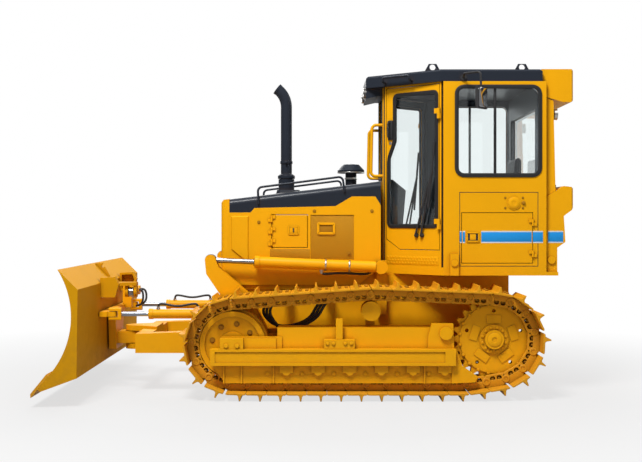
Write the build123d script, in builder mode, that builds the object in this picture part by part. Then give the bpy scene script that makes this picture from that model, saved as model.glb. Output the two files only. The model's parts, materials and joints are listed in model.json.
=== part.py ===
"""A mid-size bulldozer with an angled and tilting blade, built from its separate pieces.

Millimetres. +X is forward, +Y is the operator's left and +Z is up. The origin is on the ground
under the middle of the machine's box, so the tips of the track lugs stand on Z = 0.
"""
import os
from math import asin, atan2, cos, hypot, pi, radians, sin, tan

from build123d import *

# General fits
GAP = 0.3                     # between pieces that rest side by side
RUNNING_GAP = 0.05            # radial play of a pin in its bore
SWING_GAP = 6.0               # between a moving piece and its neighbours
HINGE_PLAY = 1.0              # between a hinge's knuckle and the wall behind it

# Undercarriage
TRACK_GAUGE = 1730.0          # between the two chains
SHOE_WIDTH = 460.0
SHOE_PLATE = 15.0
LUG_HEIGHT = 50.0
LUG_TIP = 12.0
LUG_ROOT = 24.0
LUG_SET_BACK = 34.0            # from the shoe's middle to its lug
SHOE_GAP = 3.0                # between two shoes on a straight run
SHOE_BITE = 1.0               # how far a shoe is let into its links
LINK_PITCH = 171.45
LINK_HEIGHT = 104.0
LINK_PLATE = 40.0
LINK_SPREAD = 120.0           # between the two link plates of one chain
CHORD_DIP = 6.0               # room for straight links over a roller
SPROCKET_TEETH = 25
BUSHING_ROOM = 36.0           # from the pin circle down to the tooth roots
TOOTH_RISE = 4.0
RIM_WIDTH = 56.0
HUB_FLANGE = 124.0
HUB_CAP = 81.0
SPROCKET_HOLES_R = 242.0
SPROCKET_HOLE = 16.0
IDLER_X = 672.0
IDLER_LIFT = 2.0              # the idler hangs this far above the ground run
WHEELBASE = 2228.0            # from idler to sprocket
SPROCKET_Z = 502.0
IDLER_RADIUS = 280.0
CARRIER_BACK = 63.0           # the carrier roller's place behind the middle of the wheelbase
CARRIER_Z = 746.0
CARRIER_RADIUS = 83.0
ROLLER_RADIUS = 90.0
ROLLER_COUNT = 6
ROLLER_FROM_IDLER = 460.0     # to the first roller
ROLLER_FROM_SPROCKET = 430.0  # to the last roller
ROLLER_SHAFT = 34.0

# Main frame
HULL_HALF = 430.0
HULL_BOTTOM = 330.0
HULL_WALL = 30.0
HULL_TOP = 1040.0
HULL_FRONT = 640.0
FINAL_DRIVE_RADIUS = 210.0
HULL_BULKHEAD = -640.0
RAIL_TOP = 900.0

ENGINE_X = -60.0
ENGINE_LENGTH = 920.0
ENGINE_WIDTH = 520.0
ENGINE_HEIGHT = 950.0

# Hood and nose
HOOD_HALF = 470.0
HOOD_FRONT_X = 815.0
HOOD_FRONT_Z = 1699.0
HOOD_REAR_X = -615.0
HOOD_REAR_Z = 1869.0
HOOD_BAND = ((740.0, 121.0), (551.0, 143.0), (516.0, 107.0), (-209.0, 176.0), (-357.0, 107.0),
             (-567.0, 132.0),
             (-615.0, 215.0))  # X stations, and how far the dark top cover comes down there
HOOD_SKIN = 25.0
HOOD_SHOULDER = 55.0
NOSE_BOTTOM = 640.0
NOSE_FRAME = 80.0
NOSE_CORNER = 45.0
SLAT_STEP = 78.0
SLAT_COUNT = 10
SLAT_THICK = 12.0

# Cab
CAB_FRONT_X = -640.0
CAB_FRONT_HALF = 350.0
CAB_CORNER_X = -1138.0
CAB_HALF = 800.0
CAB_REAR_X = -2028.0
CAB_WALL = 60.0
DECK_BOTTOM = HULL_TOP
DECK_THICK = 30.0
FLOOR_THICK = 40.0
CAB_TOP = 2720.0
ROOF_THICK = 105.0
ROOF_VISOR = 150.0
ROOF_REAR_X = -1995.0
ROOF_EDGE = 18.0              # chamfer round the roof's top
LAMP_BOX_HALF = 300.0
LAMP_BOX_DROP = 95.0          # below the roof
PANE = 8.0                    # thickness of the glass
WINDOW_POST = 107.0           # from the cab's corner to the side window
REAR_POST = 66.0              # from the cab's rear to the side window
WINDOW_SILL = 1900.0
WINDOW_HEADER = 55.0          # from a side window's upper edge to the cab's top
WINDOW_CORNER = 70.0
SHIELD_SILL = 1905.0
SHIELD_HEADER = 70.0
SHIELD_POST = 90.0
REAR_SILL = 1830.0
REAR_HEADER = 220.0
REAR_SIDE = 200.0             # from the rear window to the cab's sides
PANEL_SEAM = 6.0              # width and depth of the groove round the lower side panel
PANEL_TOP = 1762.0
CAP_X = -1748.0               # the round cap on the lower side panel
CAP_PLACE_Z = 1668.0
CAP_SIZE = 59.0
DECK_REAR_X = -2131.0
FOOT_X = -1194.0
FOOT_LENGTH = 74.0
FOOT_TOP = 1229.0
FOOT_PROUD = 26.0

UNIT_DROP = 175.0             # the roof unit's lowest edge below the cab's top
UNIT_SLOPE = 45.0
TANK_BOTTOM = 1277.0
TANK_TALL = 538.0
TANK_SHOULDER = 95.0
TANK_HALF = 760.0
DECK_MARGIN = 40.0            # of the deck beside the fuel tank
EYE_RADIUS = 26.0
EYE_PLATE = 20.0
EYE_HEIGHT = 66.0
EYE_Y = 650.0

RAIL_RADIUS = 10.0
HOOD_RAIL_XS = (479.0, -291.0)
GRAB_RADIUS = 14.0
GRAB_REACH = 105.0
GRAB_Y = 300.0
GRAB_SHARE = 0.644            # of the windshield's height, up to a rail's upper foot
MIRROR_X = -1440.0
MIRROR_OUT = 185.0            # from the cab's side to the mirror
MIRROR_FOOT = 12.0            # thickness of the foot of a mirror's arm

# Blade linkage
LIFT_PIVOT_X = 175.0
LIFT_PIVOT_Z = 480.0
KING_X = 1660.0
TRUNNION_Z = 430.0
TRUNNION_RADIUS = 55.0
BEAM_INNER = 480.0
BEAM_OUTER = 600.0
BEAM_BOTTOM = 345.0
BEAM_TOP = 515.0
LIFT_Y = 560.0
LIFT_REAR_X = -614.0
LIFT_REAR_Z = 1100.0
LIFT_EYE_X = 896.0
LIFT_EYE_Z = 1165.0
ARM_BOSS = 48.0
LIFT_BARREL_RADIUS = 49.0
LIFT_ROD_RADIUS = 23.0
ANGLE_PIVOT_X = 900.0
ANGLE_PIVOT_Y = 540.0
ANGLE_EYE_X = 1765.0
ANGLE_EYE_Y = ANGLE_PIVOT_Y
ANGLE_Z = 686.0
ANGLE_BARREL_RADIUS = 42.0
ANGLE_ROD_RADIUS = 21.0
ANGLE_PIN_RADIUS = 20.0
ROD_CHAMFER = 3.0             # at a rod's inner end
FORK_BACK = 75.0              # from the fork's eye to its root
FORK_WIDTH = 64.0
FORK_TALL = 110.0
FORK_SLOT = 56.0
TILT_X = 1700.0
TILT_Z = 845.0
TILT_BARREL_RADIUS = 40.0
TILT_ROD_RADIUS = 20.0
TILT_PIVOT_Y = -300.0
TILT_PIN_RADIUS = 22.0

# Blade
BLADE_WIDTH = 2800.0
BLADE_BACK_X = 1886.0
BLADE_BACK_Z = 957.0
BLADE_TOP_Z = 1119.0
LIFT_PLATE = 30.0             # the lifting gusset at the blade's top
LIFT_HOLE = 15.0
HORN_OUTER = 500.0            # outer face of the tilt cylinder's guards
HORN_WIDTH = 80.0
HORN_TOP = 1012.0
HORN_BOTTOM = 830.0
BLADE_TOP_X = 2050.0
BLADE_CURVE_X = 1942.0
BLADE_CURVE_Z = 691.0
EDGE_X = 2124.0               # upper end of the flat that the cutting edge is bolted to
EDGE_Z = 258.0
EDGE_ANGLE = 51.0             # below the horizontal
EDGE_SEAT = 140.0
EDGE_LENGTH = 229.0
EDGE_BEVEL = 25.0
EDGE_PLATE = 22.0

# Worked-out places
EDGE_DOWN = (cos(radians(EDGE_ANGLE)), -sin(radians(EDGE_ANGLE)))
EDGE_OUT = (sin(radians(EDGE_ANGLE)), cos(radians(EDGE_ANGLE)))
SPROCKET_X = IDLER_X - WHEELBASE
HULL_REAR = SPROCKET_X - FINAL_DRIVE_RADIUS
CARRIER_X = IDLER_X - WHEELBASE / 2 - CARRIER_BACK
ROLLER_FIRST_X = IDLER_X - ROLLER_FROM_IDLER
ROLLER_STEP = (WHEELBASE - ROLLER_FROM_IDLER - ROLLER_FROM_SPROCKET) / (ROLLER_COUNT - 1)
TRACK_Y = TRACK_GAUGE / 2
HALF_LINK = LINK_HEIGHT / 2
PIN_RUN_Z = LUG_HEIGHT + SHOE_PLATE + HALF_LINK
RAIL_RUN_Z = PIN_RUN_Z + HALF_LINK
ROLLER_Z = RAIL_RUN_Z + ROLLER_RADIUS
IDLER_Z = PIN_RUN_Z + hypot(IDLER_RADIUS + HALF_LINK, LINK_PITCH / 2) + IDLER_LIFT
SPROCKET_RADIUS = LINK_PITCH / 2 / sin(2 * pi / SPROCKET_TEETH)
DECK_TOP = DECK_BOTTOM + DECK_THICK
FLOOR_TOP = DECK_TOP + FLOOR_THICK

# Track frame
FRAME_HALF = 112.0
GUARD_SKIN = 18.0
LEDGE_WIDTH = 60.0
IDLER_SHAFT = 60.0
IDLER_BLOCK = 72.0            # height of the idler's sliding block over its shaft
BRACKET_X = -235.0
BRACKET_HALF = 129.0
BRACKET_RISE = 80.0           # over the guards
BAR_TOP = 688.0               # of the upright bar on the bracket
BAR_WIDTH = 60.0
CAP_Z = 563.0
CAP_RADIUS = 55.0
FRAME_TOP = 607.0
SPROCKET_CLEAR = 12.0         # from the tooth tips to the track frame
FRAME_FRONT_X = IDLER_X - 382
FRAME_REAR_X = SPROCKET_X + SPROCKET_RADIUS + TOOTH_RISE + SPROCKET_CLEAR
FRAME_BOTTOM = ROLLER_Z + ROLLER_RADIUS + 8
GUARD_BOTTOM = RAIL_RUN_Z - 30
GUARD_TOP = 433.0
GUARD_FRONT_X = IDLER_X + 170
GUARD_REAR_X = SPROCKET_X + 341
LEDGE_BOTTOM = 294.0
LEDGE_FRONT_X = IDLER_X + 181
PIVOT_X = SPROCKET_X + 420
PIVOT_Z = 500.0
PIVOT_RADIUS = 55.0
LIFT_TRUNNION_RADIUS = 45.0
LIFT_PIN_RADIUS = 25.0

# Engine doors in the hood's sides
DOOR_FRONT_X = 358.0
DOOR_REAR_X = 44.0
DOOR_BOTTOM = 1278.0
DOOR_TOP = 1566.0
LIFT_OFF_REAR_X = -375.0
LIFT_OFF_BOTTOM = 1166.0
PANEL_RECESS = 8.0
DOOR_KNUCKLE = 9.0
DOOR_LEAF = 34.0
DOOR_HINGE_X = DOOR_FRONT_X + SWING_GAP / 2
DOOR_HINGE_ZS = (DOOR_BOTTOM + 14, DOOR_BOTTOM + 120, DOOR_BOTTOM + 226)

# Exhaust stack and pre-cleaner
STACK_X = 245.0
STACK_RADIUS = 52.0
STACK_TOP = 2790.0
PRECLEANER_X = -361.0

# Side windows and hatches
SIDE_WINDOW = (CAB_CORNER_X - WINDOW_POST, CAB_REAR_X + REAR_POST, WINDOW_SILL, CAB_TOP - WINDOW_HEADER)
HATCH = (CAB_CORNER_X - 160, CAB_REAR_X + 121, FLOOR_TOP + 40, FLOOR_TOP + 470)
SIDE_PANEL = (HATCH[0] + 22, CAB_REAR_X + CAB_WALL + 10, FLOOR_TOP + 8, PANEL_TOP)
HATCH_PLATE = 20.0
HATCH_HINGE_X = HATCH[1] - SWING_GAP / 2
HATCH_HINGE_ZS = (HATCH[2] + 50, HATCH[3] - 110)

# Windshield and rear window
FRONT_WINDOW = (SHIELD_SILL, CAB_TOP - SHIELD_HEADER)
REAR_WINDOW = (REAR_SILL, CAB_TOP - REAR_HEADER)

# Cab doors
DOOR_WIDTH = hypot(CAB_FRONT_X - CAB_CORNER_X, CAB_FRONT_HALF - CAB_HALF)
DOOR_HEADER = 20.0
DOOR_RAIL = 20.0              # from the door's sides to its window
DOOR_STEP = 68.0              # how far the window draws back above the handle
CAB_DOOR_BOTTOM = FLOOR_TOP + 152
CAB_DOOR_TOP = CAB_TOP - DOOR_HEADER
DOOR_EDGE = 45.0              # from the cab's corners to the door's edges
DOOR_WINDOW = (CAB_DOOR_BOTTOM + 198, CAB_DOOR_TOP - 60)
DOOR_WINDOW_CORNER = 42.0
CAB_DOOR_THICK = 40.0
CAB_KNUCKLE = 14.0
CAB_LEAF = 48.0
CAB_HINGE_X = DOOR_WIDTH - DOOR_EDGE + SWING_GAP / 2
CAB_HINGE_ZS = (CAB_DOOR_BOTTOM + 178, CAB_DOOR_TOP - 300)

# Rear end, as far back as the cutting edge is forward
REAR_X = -(EDGE_X + (EDGE_LENGTH - EDGE_BEVEL) * EDGE_DOWN[0] + (GAP + EDGE_PLATE) * EDGE_OUT[0])

# Roof eyes
EYE_XS = (CAB_CORNER_X + 78, CAB_REAR_X + 183)

# Drawbar
DRAWBAR_X = HULL_REAR - 194
DRAWBAR_Z = 460.0
DRAWBAR_BORE = 25.0

# Cylinders and push frame
LIFT_LENGTH = hypot(LIFT_EYE_X - LIFT_REAR_X, LIFT_EYE_Z - LIFT_REAR_Z)
LIFT_BARREL_END = 1115.0
NOSE_BEAM_X = 1430.0
LUG_RADIUS = 90.0
LUG_DEPTH = 56.0              # from the sleeve to the far face of a king-pin lug
KING_RADIUS = 40.0
SLEEVE_LOW = 376.0
SLEEVE_HIGH = 484.0
ANGLE_BARREL_END = 545.0
YOKE_BACK = 1810.0
YOKE_HALF = ANGLE_EYE_Y + 50
YOKE_FRONT = BLADE_BACK_X - 8


def side_plane(y):
    """The upright plane at this Y, drawn in X and Z, from which a positive extrusion goes towards -Y."""
    return Plane.XZ.offset(-y)


def plate(points, outer_y, thick):
    """A plate drawn by its X, Z corners, from outer_y inwards by its thickness."""
    with BuildPart() as body:
        with BuildSketch(side_plane(outer_y)):
            Polygon(*points, align=None)
        extrude(amount=thick)
    return body.part


def other_side(part):
    """The same piece on the machine's right."""
    with BuildPart() as copy:
        mirror(part, about=Plane.XZ)
    return copy.part


def hinge_halves(face, axis_x, heights, radius, leaf, own):
    """Hinge knuckles on a wall's outer face.

    face has x along the wall, y up and z outwards. axis_x is the hinge line, and leaf reaches along x
    from it, with its sign. Each hinge is a lower knuckle and, on it, an upper one: own is 0 for the lower,
    1 for the upper.
    """
    length = 3.2 * radius
    with BuildPart() as halves:
        for height in heights:
            low = height + own * (length + GAP)
            centre = face.from_local_coords(Vector(axis_x, low, radius + HINGE_PLAY))
            with BuildSketch(Plane(centre, x_dir=face.x_dir, z_dir=(0, 0, 1))):
                Circle(radius)
                with Locations((leaf / 2, (radius + HINGE_PLAY) / 2)):
                    Rectangle(abs(leaf), radius + HINGE_PLAY)
            extrude(amount=length)
    return halves.part


def write(part, name):
    """Labels a finished piece and writes its STEP file."""
    part.label = name
    export_step(part, f"parts/{name}.step")


def write_pair(part, name):
    """Writes a left piece and its mirror image."""
    write(part, f"{name}_left")
    write(other_side(part), f"{name}_right")


# Track
def chain_wheels():
    """The wheels that the chain's pin line wraps, counter-clockwise from the last roller: (x, z, radius)."""
    last_roller_x = ROLLER_FIRST_X - (ROLLER_COUNT - 1) * ROLLER_STEP
    return [
        (last_roller_x - LINK_PITCH, ROLLER_Z + CHORD_DIP, ROLLER_RADIUS + HALF_LINK + CHORD_DIP),
        (ROLLER_FIRST_X + LINK_PITCH, ROLLER_Z + CHORD_DIP, ROLLER_RADIUS + HALF_LINK + CHORD_DIP),
        (IDLER_X, IDLER_Z, hypot(IDLER_RADIUS + HALF_LINK, LINK_PITCH / 2)),
        (CARRIER_X, CARRIER_Z, CARRIER_RADIUS + HALF_LINK + CHORD_DIP),
        (SPROCKET_X, SPROCKET_Z, SPROCKET_RADIUS),
    ]


def chain_runs():
    """The pin line as straight runs and arcs, each (length, function from distance to (x, z))."""
    wheels = chain_wheels()
    headings = []
    for (ax, az, ar), (bx, bz, br) in zip(wheels, wheels[1:] + wheels[:1]):
        span = hypot(bx - ax, bz - az)
        headings.append(atan2(bz - az, bx - ax) + asin((ar - br) / span))
    runs = []
    for index, (x, z, r) in enumerate(wheels):
        start, end = headings[index - 1], headings[index]
        turn = (end - start) % (2 * pi)
        runs.append((r * turn, lambda s, x=x, z=z, r=r, a=start: (
            x + r * sin(a + s / r), z - r * cos(a + s / r))))
        bx, bz, br = wheels[(index + 1) % len(wheels)]
        leave = (x + r * sin(end), z - r * cos(end))
        length = hypot(bx + br * sin(end) - leave[0], bz - br * cos(end) - leave[1])
        runs.append((length, lambda s, p=leave, a=end: (p[0] + s * cos(a), p[1] + s * sin(a))))
    return runs


def chain_pins():
    """The chain's pin centres, evenly spread along the pin line."""
    runs = chain_runs()
    total = sum(length for length, _ in runs)
    count = round(total / LINK_PITCH)
    pins = []
    for index in range(count):
        s = index * total / count
        for length, point in runs:
            if s <= length:
                pins.append(point(s))
                break
            s -= length
    return pins


def offset_ring(pins, distance):
    """The pin polygon moved outwards by a distance, with mitred corners."""
    ring = []
    for before, here, after in zip(pins[-1:] + pins[:-1], pins, pins[1:] + pins[:1]):
        into = atan2(here[1] - before[1], here[0] - before[0])
        out = atan2(after[1] - here[1], after[0] - here[0])
        half_turn = ((out - into + pi) % (2 * pi) - pi) / 2
        heading = into + half_turn
        reach = distance / cos(half_turn)
        ring.append((here[0] + reach * sin(heading), here[1] - reach * cos(heading)))
    return ring


def along_link(start, end, points):
    """Points drawn on the chord between two pins, u along it and v outwards, as (x, z)."""
    heading = atan2(end[1] - start[1], end[0] - start[0])
    middle = ((start[0] + end[0]) / 2, (start[1] + end[1]) / 2)
    return [
        (middle[0] + u * cos(heading) + v * sin(heading), middle[1] + u * sin(heading) - v * cos(heading))
        for u, v in points
    ]


def shoe_outline(start, end):
    """One shoe with its lug, drawn on the chord between two pins: (x, z) corners."""
    length = hypot(end[0] - start[0], end[1] - start[1])
    half = length / 2 - SHOE_GAP / 2
    inner = HALF_LINK - SHOE_BITE
    outer = HALF_LINK + SHOE_PLATE
    lug = -LUG_SET_BACK
    return along_link(start, end, [
        (-half, inner), (-half, outer), (lug - LUG_ROOT / 2, outer),
        (lug - LUG_TIP / 2, outer + LUG_HEIGHT),
        (lug + LUG_TIP / 2, outer + LUG_HEIGHT), (lug + LUG_ROOT / 2, outer), (half, outer), (half, inner),
    ])


def track():
    """One whole track: two link plates all round, and a shoe with its lug on each pitch."""
    pins = chain_pins()
    outside, inside = offset_ring(pins, HALF_LINK), offset_ring(pins, -HALF_LINK)
    with BuildPart() as loop:
        for plate_y in (TRACK_Y + LINK_SPREAD / 2, TRACK_Y - LINK_SPREAD / 2):
            with BuildSketch(side_plane(plate_y + LINK_PLATE / 2)):
                Polygon(*outside, align=None)
                Polygon(*inside, align=None, mode=Mode.SUBTRACT)
            extrude(amount=LINK_PLATE)
        with BuildSketch(side_plane(TRACK_Y + SHOE_WIDTH / 2)):
            for start, end in zip(pins, pins[1:] + pins[:1]):
                Polygon(*shoe_outline(start, end), align=None)
        extrude(amount=SHOE_WIDTH)
    return loop.part


def sprocket():
    """The drive sprocket: a toothed rim, a face disc with raised pads and round holes, and the hub's cap."""
    root, tip = SPROCKET_RADIUS - BUSHING_ROOM, SPROCKET_RADIUS + TOOTH_RISE
    step = 2 * pi / SPROCKET_TEETH
    profile = []
    for tooth in range(SPROCKET_TEETH):
        for share, radius in ((-0.14, tip), (0.14, tip), (0.34, root + 6), (0.5, root), (0.66, root + 6)):
            angle = (tooth + share) * step
            profile.append((SPROCKET_X + radius * cos(angle), SPROCKET_Z + radius * sin(angle)))
    face_y = TRACK_Y + LINK_SPREAD / 2 - LINK_PLATE / 2 - 2
    disc = root - 18
    with BuildPart() as wheel:
        with BuildSketch(side_plane(TRACK_Y + RIM_WIDTH / 2)):
            Polygon(*profile, align=None)
        extrude(amount=RIM_WIDTH)
        with BuildSketch(side_plane(face_y)):
            with Locations((SPROCKET_X, SPROCKET_Z)):
                Circle(disc)
        extrude(amount=20)
        with BuildSketch(side_plane(face_y + 7)):
            for pad in range(5):
                corners = [(150, -0.42), (150, 0.42), (disc - 75, 0.30), (disc - 75, -0.30)]
                turn = 2 * pi * pad / 5 + pi / 2
                Polygon(*[(SPROCKET_X + r * cos(turn + a), SPROCKET_Z + r * sin(turn + a)) for r,
                          a in corners],
                        align=None)
        extrude(amount=7)
        with BuildSketch(side_plane(face_y + 16)):
            with Locations((SPROCKET_X, SPROCKET_Z)):
                Circle(HUB_FLANGE)
        extrude(amount=20)
        with BuildSketch(side_plane(face_y + 46)):
            with Locations((SPROCKET_X, SPROCKET_Z)):
                Circle(HUB_CAP)
        extrude(amount=40)
        with BuildSketch(side_plane(face_y + 10)):
            with Locations((SPROCKET_X, SPROCKET_Z)):
                with PolarLocations(SPROCKET_HOLES_R, 5, 18):
                    Circle(SPROCKET_HOLE)
        extrude(amount=RIM_WIDTH + 40, mode=Mode.SUBTRACT)
    return wheel.part


def idler():
    """The front idler wheel: a rim, a web on each side and its hub."""
    with BuildPart() as wheel:
        with BuildSketch(side_plane(TRACK_Y + 85)):
            with Locations((IDLER_X, IDLER_Z)):
                Circle(IDLER_RADIUS - GAP)
        extrude(amount=170)
        with BuildSketch(side_plane(TRACK_Y + 34)):
            with Locations((IDLER_X, IDLER_Z)):
                Circle(IDLER_RADIUS + 22)
        extrude(amount=68)
        with BuildSketch(side_plane(TRACK_Y + 85)):
            with Locations((IDLER_X, IDLER_Z)):
                Circle(IDLER_RADIUS - 42)
                Circle(110, mode=Mode.SUBTRACT)
        extrude(amount=18, mode=Mode.SUBTRACT)
        with BuildSketch(side_plane(TRACK_Y + FRAME_HALF + GUARD_SKIN - GAP)):
            with Locations((IDLER_X, IDLER_Z)):
                Circle(IDLER_SHAFT)
        extrude(amount=2 * (FRAME_HALF + GUARD_SKIN - GAP))
    return wheel.part


def rollers():
    """The bottom rollers and the carrier roller of one side, each with its shaft."""
    with BuildPart() as set_of_rollers:
        for index in range(ROLLER_COUNT):
            x = ROLLER_FIRST_X - index * ROLLER_STEP
            with BuildSketch(side_plane(TRACK_Y + 84)):
                with Locations((x, ROLLER_Z)):
                    Circle(ROLLER_RADIUS - GAP)
            extrude(amount=168)
            with BuildSketch(side_plane(TRACK_Y + FRAME_HALF - GAP)):
                with Locations((x, ROLLER_Z)):
                    Circle(ROLLER_SHAFT)
            extrude(amount=2 * (FRAME_HALF - GAP))
        with BuildSketch(side_plane(TRACK_Y + 100)):
            with Locations((CARRIER_X, CARRIER_Z)):
                Circle(CARRIER_RADIUS - GAP)
        extrude(amount=190)
    return set_of_rollers.part


def track_frame():
    """The track frame: its box beam, roller guards, outer ledge, idler slides, caps and carrier post."""
    outer, skin = TRACK_Y + FRAME_HALF, GUARD_SKIN
    guard_y = outer + skin
    ledge_y = guard_y + LEDGE_WIDTH
    slide_top = IDLER_Z + IDLER_BLOCK
    slide_rear = FRAME_FRONT_X - 40
    rib_z, rib_tall = (GUARD_BOTTOM + LEDGE_BOTTOM) / 2, LEDGE_BOTTOM - GUARD_BOTTOM
    with BuildPart() as frame:
        with BuildSketch(side_plane(outer)):
            Polygon(*box_points(FRAME_FRONT_X, FRAME_REAR_X, FRAME_BOTTOM, FRAME_TOP), align=None)
        extrude(amount=2 * FRAME_HALF)
        for face_y in (guard_y, TRACK_Y - FRAME_HALF):
            with BuildSketch(side_plane(face_y)):
                Polygon((GUARD_FRONT_X - 110, GUARD_BOTTOM), (GUARD_FRONT_X, LEDGE_BOTTOM),
                        (GUARD_FRONT_X, GUARD_TOP),
                        (GUARD_REAR_X, GUARD_TOP), (GUARD_REAR_X, GUARD_BOTTOM), align=None)
                Polygon(*box_points(IDLER_X + 90, slide_rear, GUARD_TOP - 20, slide_top), align=None)
                with Locations((IDLER_X, IDLER_Z)):
                    Circle(IDLER_SHAFT + GAP, mode=Mode.SUBTRACT)
            extrude(amount=skin)
        with BuildSketch(side_plane(ledge_y)):
            Polygon((LEDGE_FRONT_X - 12, LEDGE_BOTTOM), (LEDGE_FRONT_X, LEDGE_BOTTOM + 12),
                    (LEDGE_FRONT_X, GUARD_TOP),
                    (GUARD_REAR_X, GUARD_TOP), (GUARD_REAR_X, LEDGE_BOTTOM), align=None)
        extrude(amount=LEDGE_WIDTH)
        with BuildSketch(side_plane(ledge_y)):
            Polygon(*box_points(LEDGE_FRONT_X - 40, GUARD_REAR_X + 90, LEDGE_BOTTOM + 26, GUARD_TOP - 22),
                    align=None)
        extrude(amount=10, mode=Mode.SUBTRACT)
        with BuildSketch(side_plane(guard_y + 26)):
            for index in range(ROLLER_COUNT):
                x = ROLLER_FIRST_X - index * ROLLER_STEP
                with Locations((x, LEDGE_BOTTOM - 30)):
                    Rectangle(113, 66)
                with Locations((x, LEDGE_BOTTOM - 52)):
                    Circle(34)
        extrude(amount=26)
        with BuildSketch(side_plane(guard_y + 14)):
            for x in (IDLER_X + 70, IDLER_X - 80, ROLLER_FIRST_X + 110,
                      SPROCKET_X + ROLLER_FROM_SPROCKET + 170):
                with Locations((x, rib_z)):
                    Rectangle(12, rib_tall)
        extrude(amount=14)
        with BuildSketch(side_plane(ledge_y - 8)):
            Polygon(*box_points(IDLER_X + 98, IDLER_X - 97, GUARD_TOP - 30, slide_top - 10), align=None)
        extrude(amount=ledge_y - 8 - guard_y)
        with BuildSketch(side_plane(guard_y + 16)):
            Polygon(*box_points(IDLER_X - 97, FRAME_FRONT_X + 10, GUARD_TOP - 10, slide_top - 14),
                    align=None)
        extrude(amount=16)
        with BuildSketch(side_plane(ledge_y - 12)):
            Polygon(*box_points(BRACKET_X + BRACKET_HALF, BRACKET_X - BRACKET_HALF, GUARD_TOP - 10,
                                GUARD_TOP + BRACKET_RISE), align=None)
        extrude(amount=ledge_y - 12 - outer)
        with BuildSketch(Plane.XY.offset(GUARD_TOP + BRACKET_RISE - 10)):
            with Locations((BRACKET_X, outer + skin + 18)):
                RectangleRounded(BAR_WIDTH, 36, 8)
        extrude(amount=BAR_TOP - GUARD_TOP - BRACKET_RISE + 10)
        with BuildSketch(side_plane(outer + 24)):
            Polygon((PIVOT_X + 150, GUARD_TOP - 10), (PIVOT_X + 150, CAP_Z - 30),
                    (PIVOT_X + 120, CAP_Z + 82),
                    (PIVOT_X - 62, CAP_Z + 82), (PIVOT_X - 70, GUARD_TOP - 10), align=None)
        extrude(amount=36)
        with BuildSketch(side_plane(outer + 50)):
            with Locations((PIVOT_X, CAP_Z)):
                Circle(CAP_RADIUS)
        extrude(amount=40)
        with BuildSketch(side_plane(guard_y + 14)):
            Polygon((GUARD_REAR_X + 30, GUARD_TOP), (GUARD_REAR_X - 12, GUARD_TOP - 10),
                    (GUARD_REAR_X - 60, rib_z + 70),
                    (GUARD_REAR_X - 190, rib_z - 20), (GUARD_REAR_X - 165, GUARD_BOTTOM + 10),
                    (GUARD_REAR_X + 30, GUARD_BOTTOM), align=None)
        extrude(amount=14 + skin)
        with BuildSketch(side_plane(TRACK_Y - 90 - GAP)):
            Polygon(*box_points(CARRIER_X + 40, CARRIER_X - 40, FRAME_TOP - 10, CARRIER_Z + 40), align=None)
        extrude(amount=22)
    return frame.part


def frame_stubs():
    """What stands out on the main frame's left: gear case, rear axle, blade trunnion, lift bracket."""
    with BuildPart() as stubs:
        with BuildSketch(side_plane(TRACK_Y - RIM_WIDTH / 2 - GAP)):
            with Locations((SPROCKET_X, SPROCKET_Z)):
                Circle(FINAL_DRIVE_RADIUS)
        extrude(amount=TRACK_Y - RIM_WIDTH / 2 - GAP - HULL_HALF)
        with BuildSketch(side_plane(TRACK_Y - FRAME_HALF - GAP)):
            with Locations((PIVOT_X, PIVOT_Z)):
                Circle(PIVOT_RADIUS)
        extrude(amount=TRACK_Y - FRAME_HALF - GAP - HULL_HALF)
        with BuildSketch(side_plane(BEAM_OUTER + 10)):
            with Locations((LIFT_PIVOT_X, LIFT_PIVOT_Z)):
                Circle(LIFT_TRUNNION_RADIUS)
        extrude(amount=BEAM_OUTER + 10 - HULL_HALF)
        with BuildSketch(side_plane(LIFT_Y + 30)):
            with Locations((LIFT_REAR_X, LIFT_REAR_Z)):
                Circle(LIFT_PIN_RADIUS)
        extrude(amount=90)
        with BuildSketch(side_plane(LIFT_Y - 36)):
            Polygon((LIFT_REAR_X + 34, RAIL_TOP - 220), (LIFT_REAR_X + 34, LIFT_REAR_Z + 60),
                    (LIFT_REAR_X - 50, LIFT_REAR_Z + 60), (LIFT_REAR_X - 50, RAIL_TOP - 220), align=None)
        extrude(amount=LIFT_Y - 36 - HOOD_HALF - 12)
        with BuildSketch(side_plane(HOOD_HALF + 12)):
            Polygon((LIFT_REAR_X + 34, RAIL_TOP - 220), (LIFT_REAR_X + 34, RAIL_TOP - 40),
                    (LIFT_REAR_X - 50, RAIL_TOP - 40), (LIFT_REAR_X - 50, RAIL_TOP - 220), align=None)
        extrude(amount=HOOD_HALF + 12 - HULL_HALF)
    return stubs.part


def main_frame():
    """The main frame: rails and belly plate round the engine, the gear case behind, and the stubs."""
    left = frame_stubs()
    with BuildPart() as frame:
        with BuildSketch(side_plane(HULL_HALF)):
            Polygon((HULL_FRONT, HULL_BOTTOM + 150), (HULL_FRONT, RAIL_TOP), (HULL_BULKHEAD, RAIL_TOP),
                    (HULL_BULKHEAD, HULL_TOP), (HULL_REAR, HULL_TOP), (HULL_REAR, HULL_BOTTOM + 150),
                    (HULL_REAR + 120, HULL_BOTTOM), (HULL_FRONT - 200, HULL_BOTTOM), align=None)
        extrude(amount=2 * HULL_HALF)
        with BuildSketch(side_plane(HULL_HALF - HULL_WALL)):
            Polygon((HULL_FRONT + 1, HULL_BOTTOM + 170), (HULL_FRONT + 1, RAIL_TOP + 1),
                    (HULL_BULKHEAD + 100, RAIL_TOP + 1), (HULL_BULKHEAD + 100, HULL_BOTTOM + HULL_WALL),
                    (HULL_FRONT - 190, HULL_BOTTOM + HULL_WALL), align=None)
        extrude(amount=2 * (HULL_HALF - HULL_WALL), mode=Mode.SUBTRACT)
        add(left)
        add(other_side(left))
    return frame.part


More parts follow.
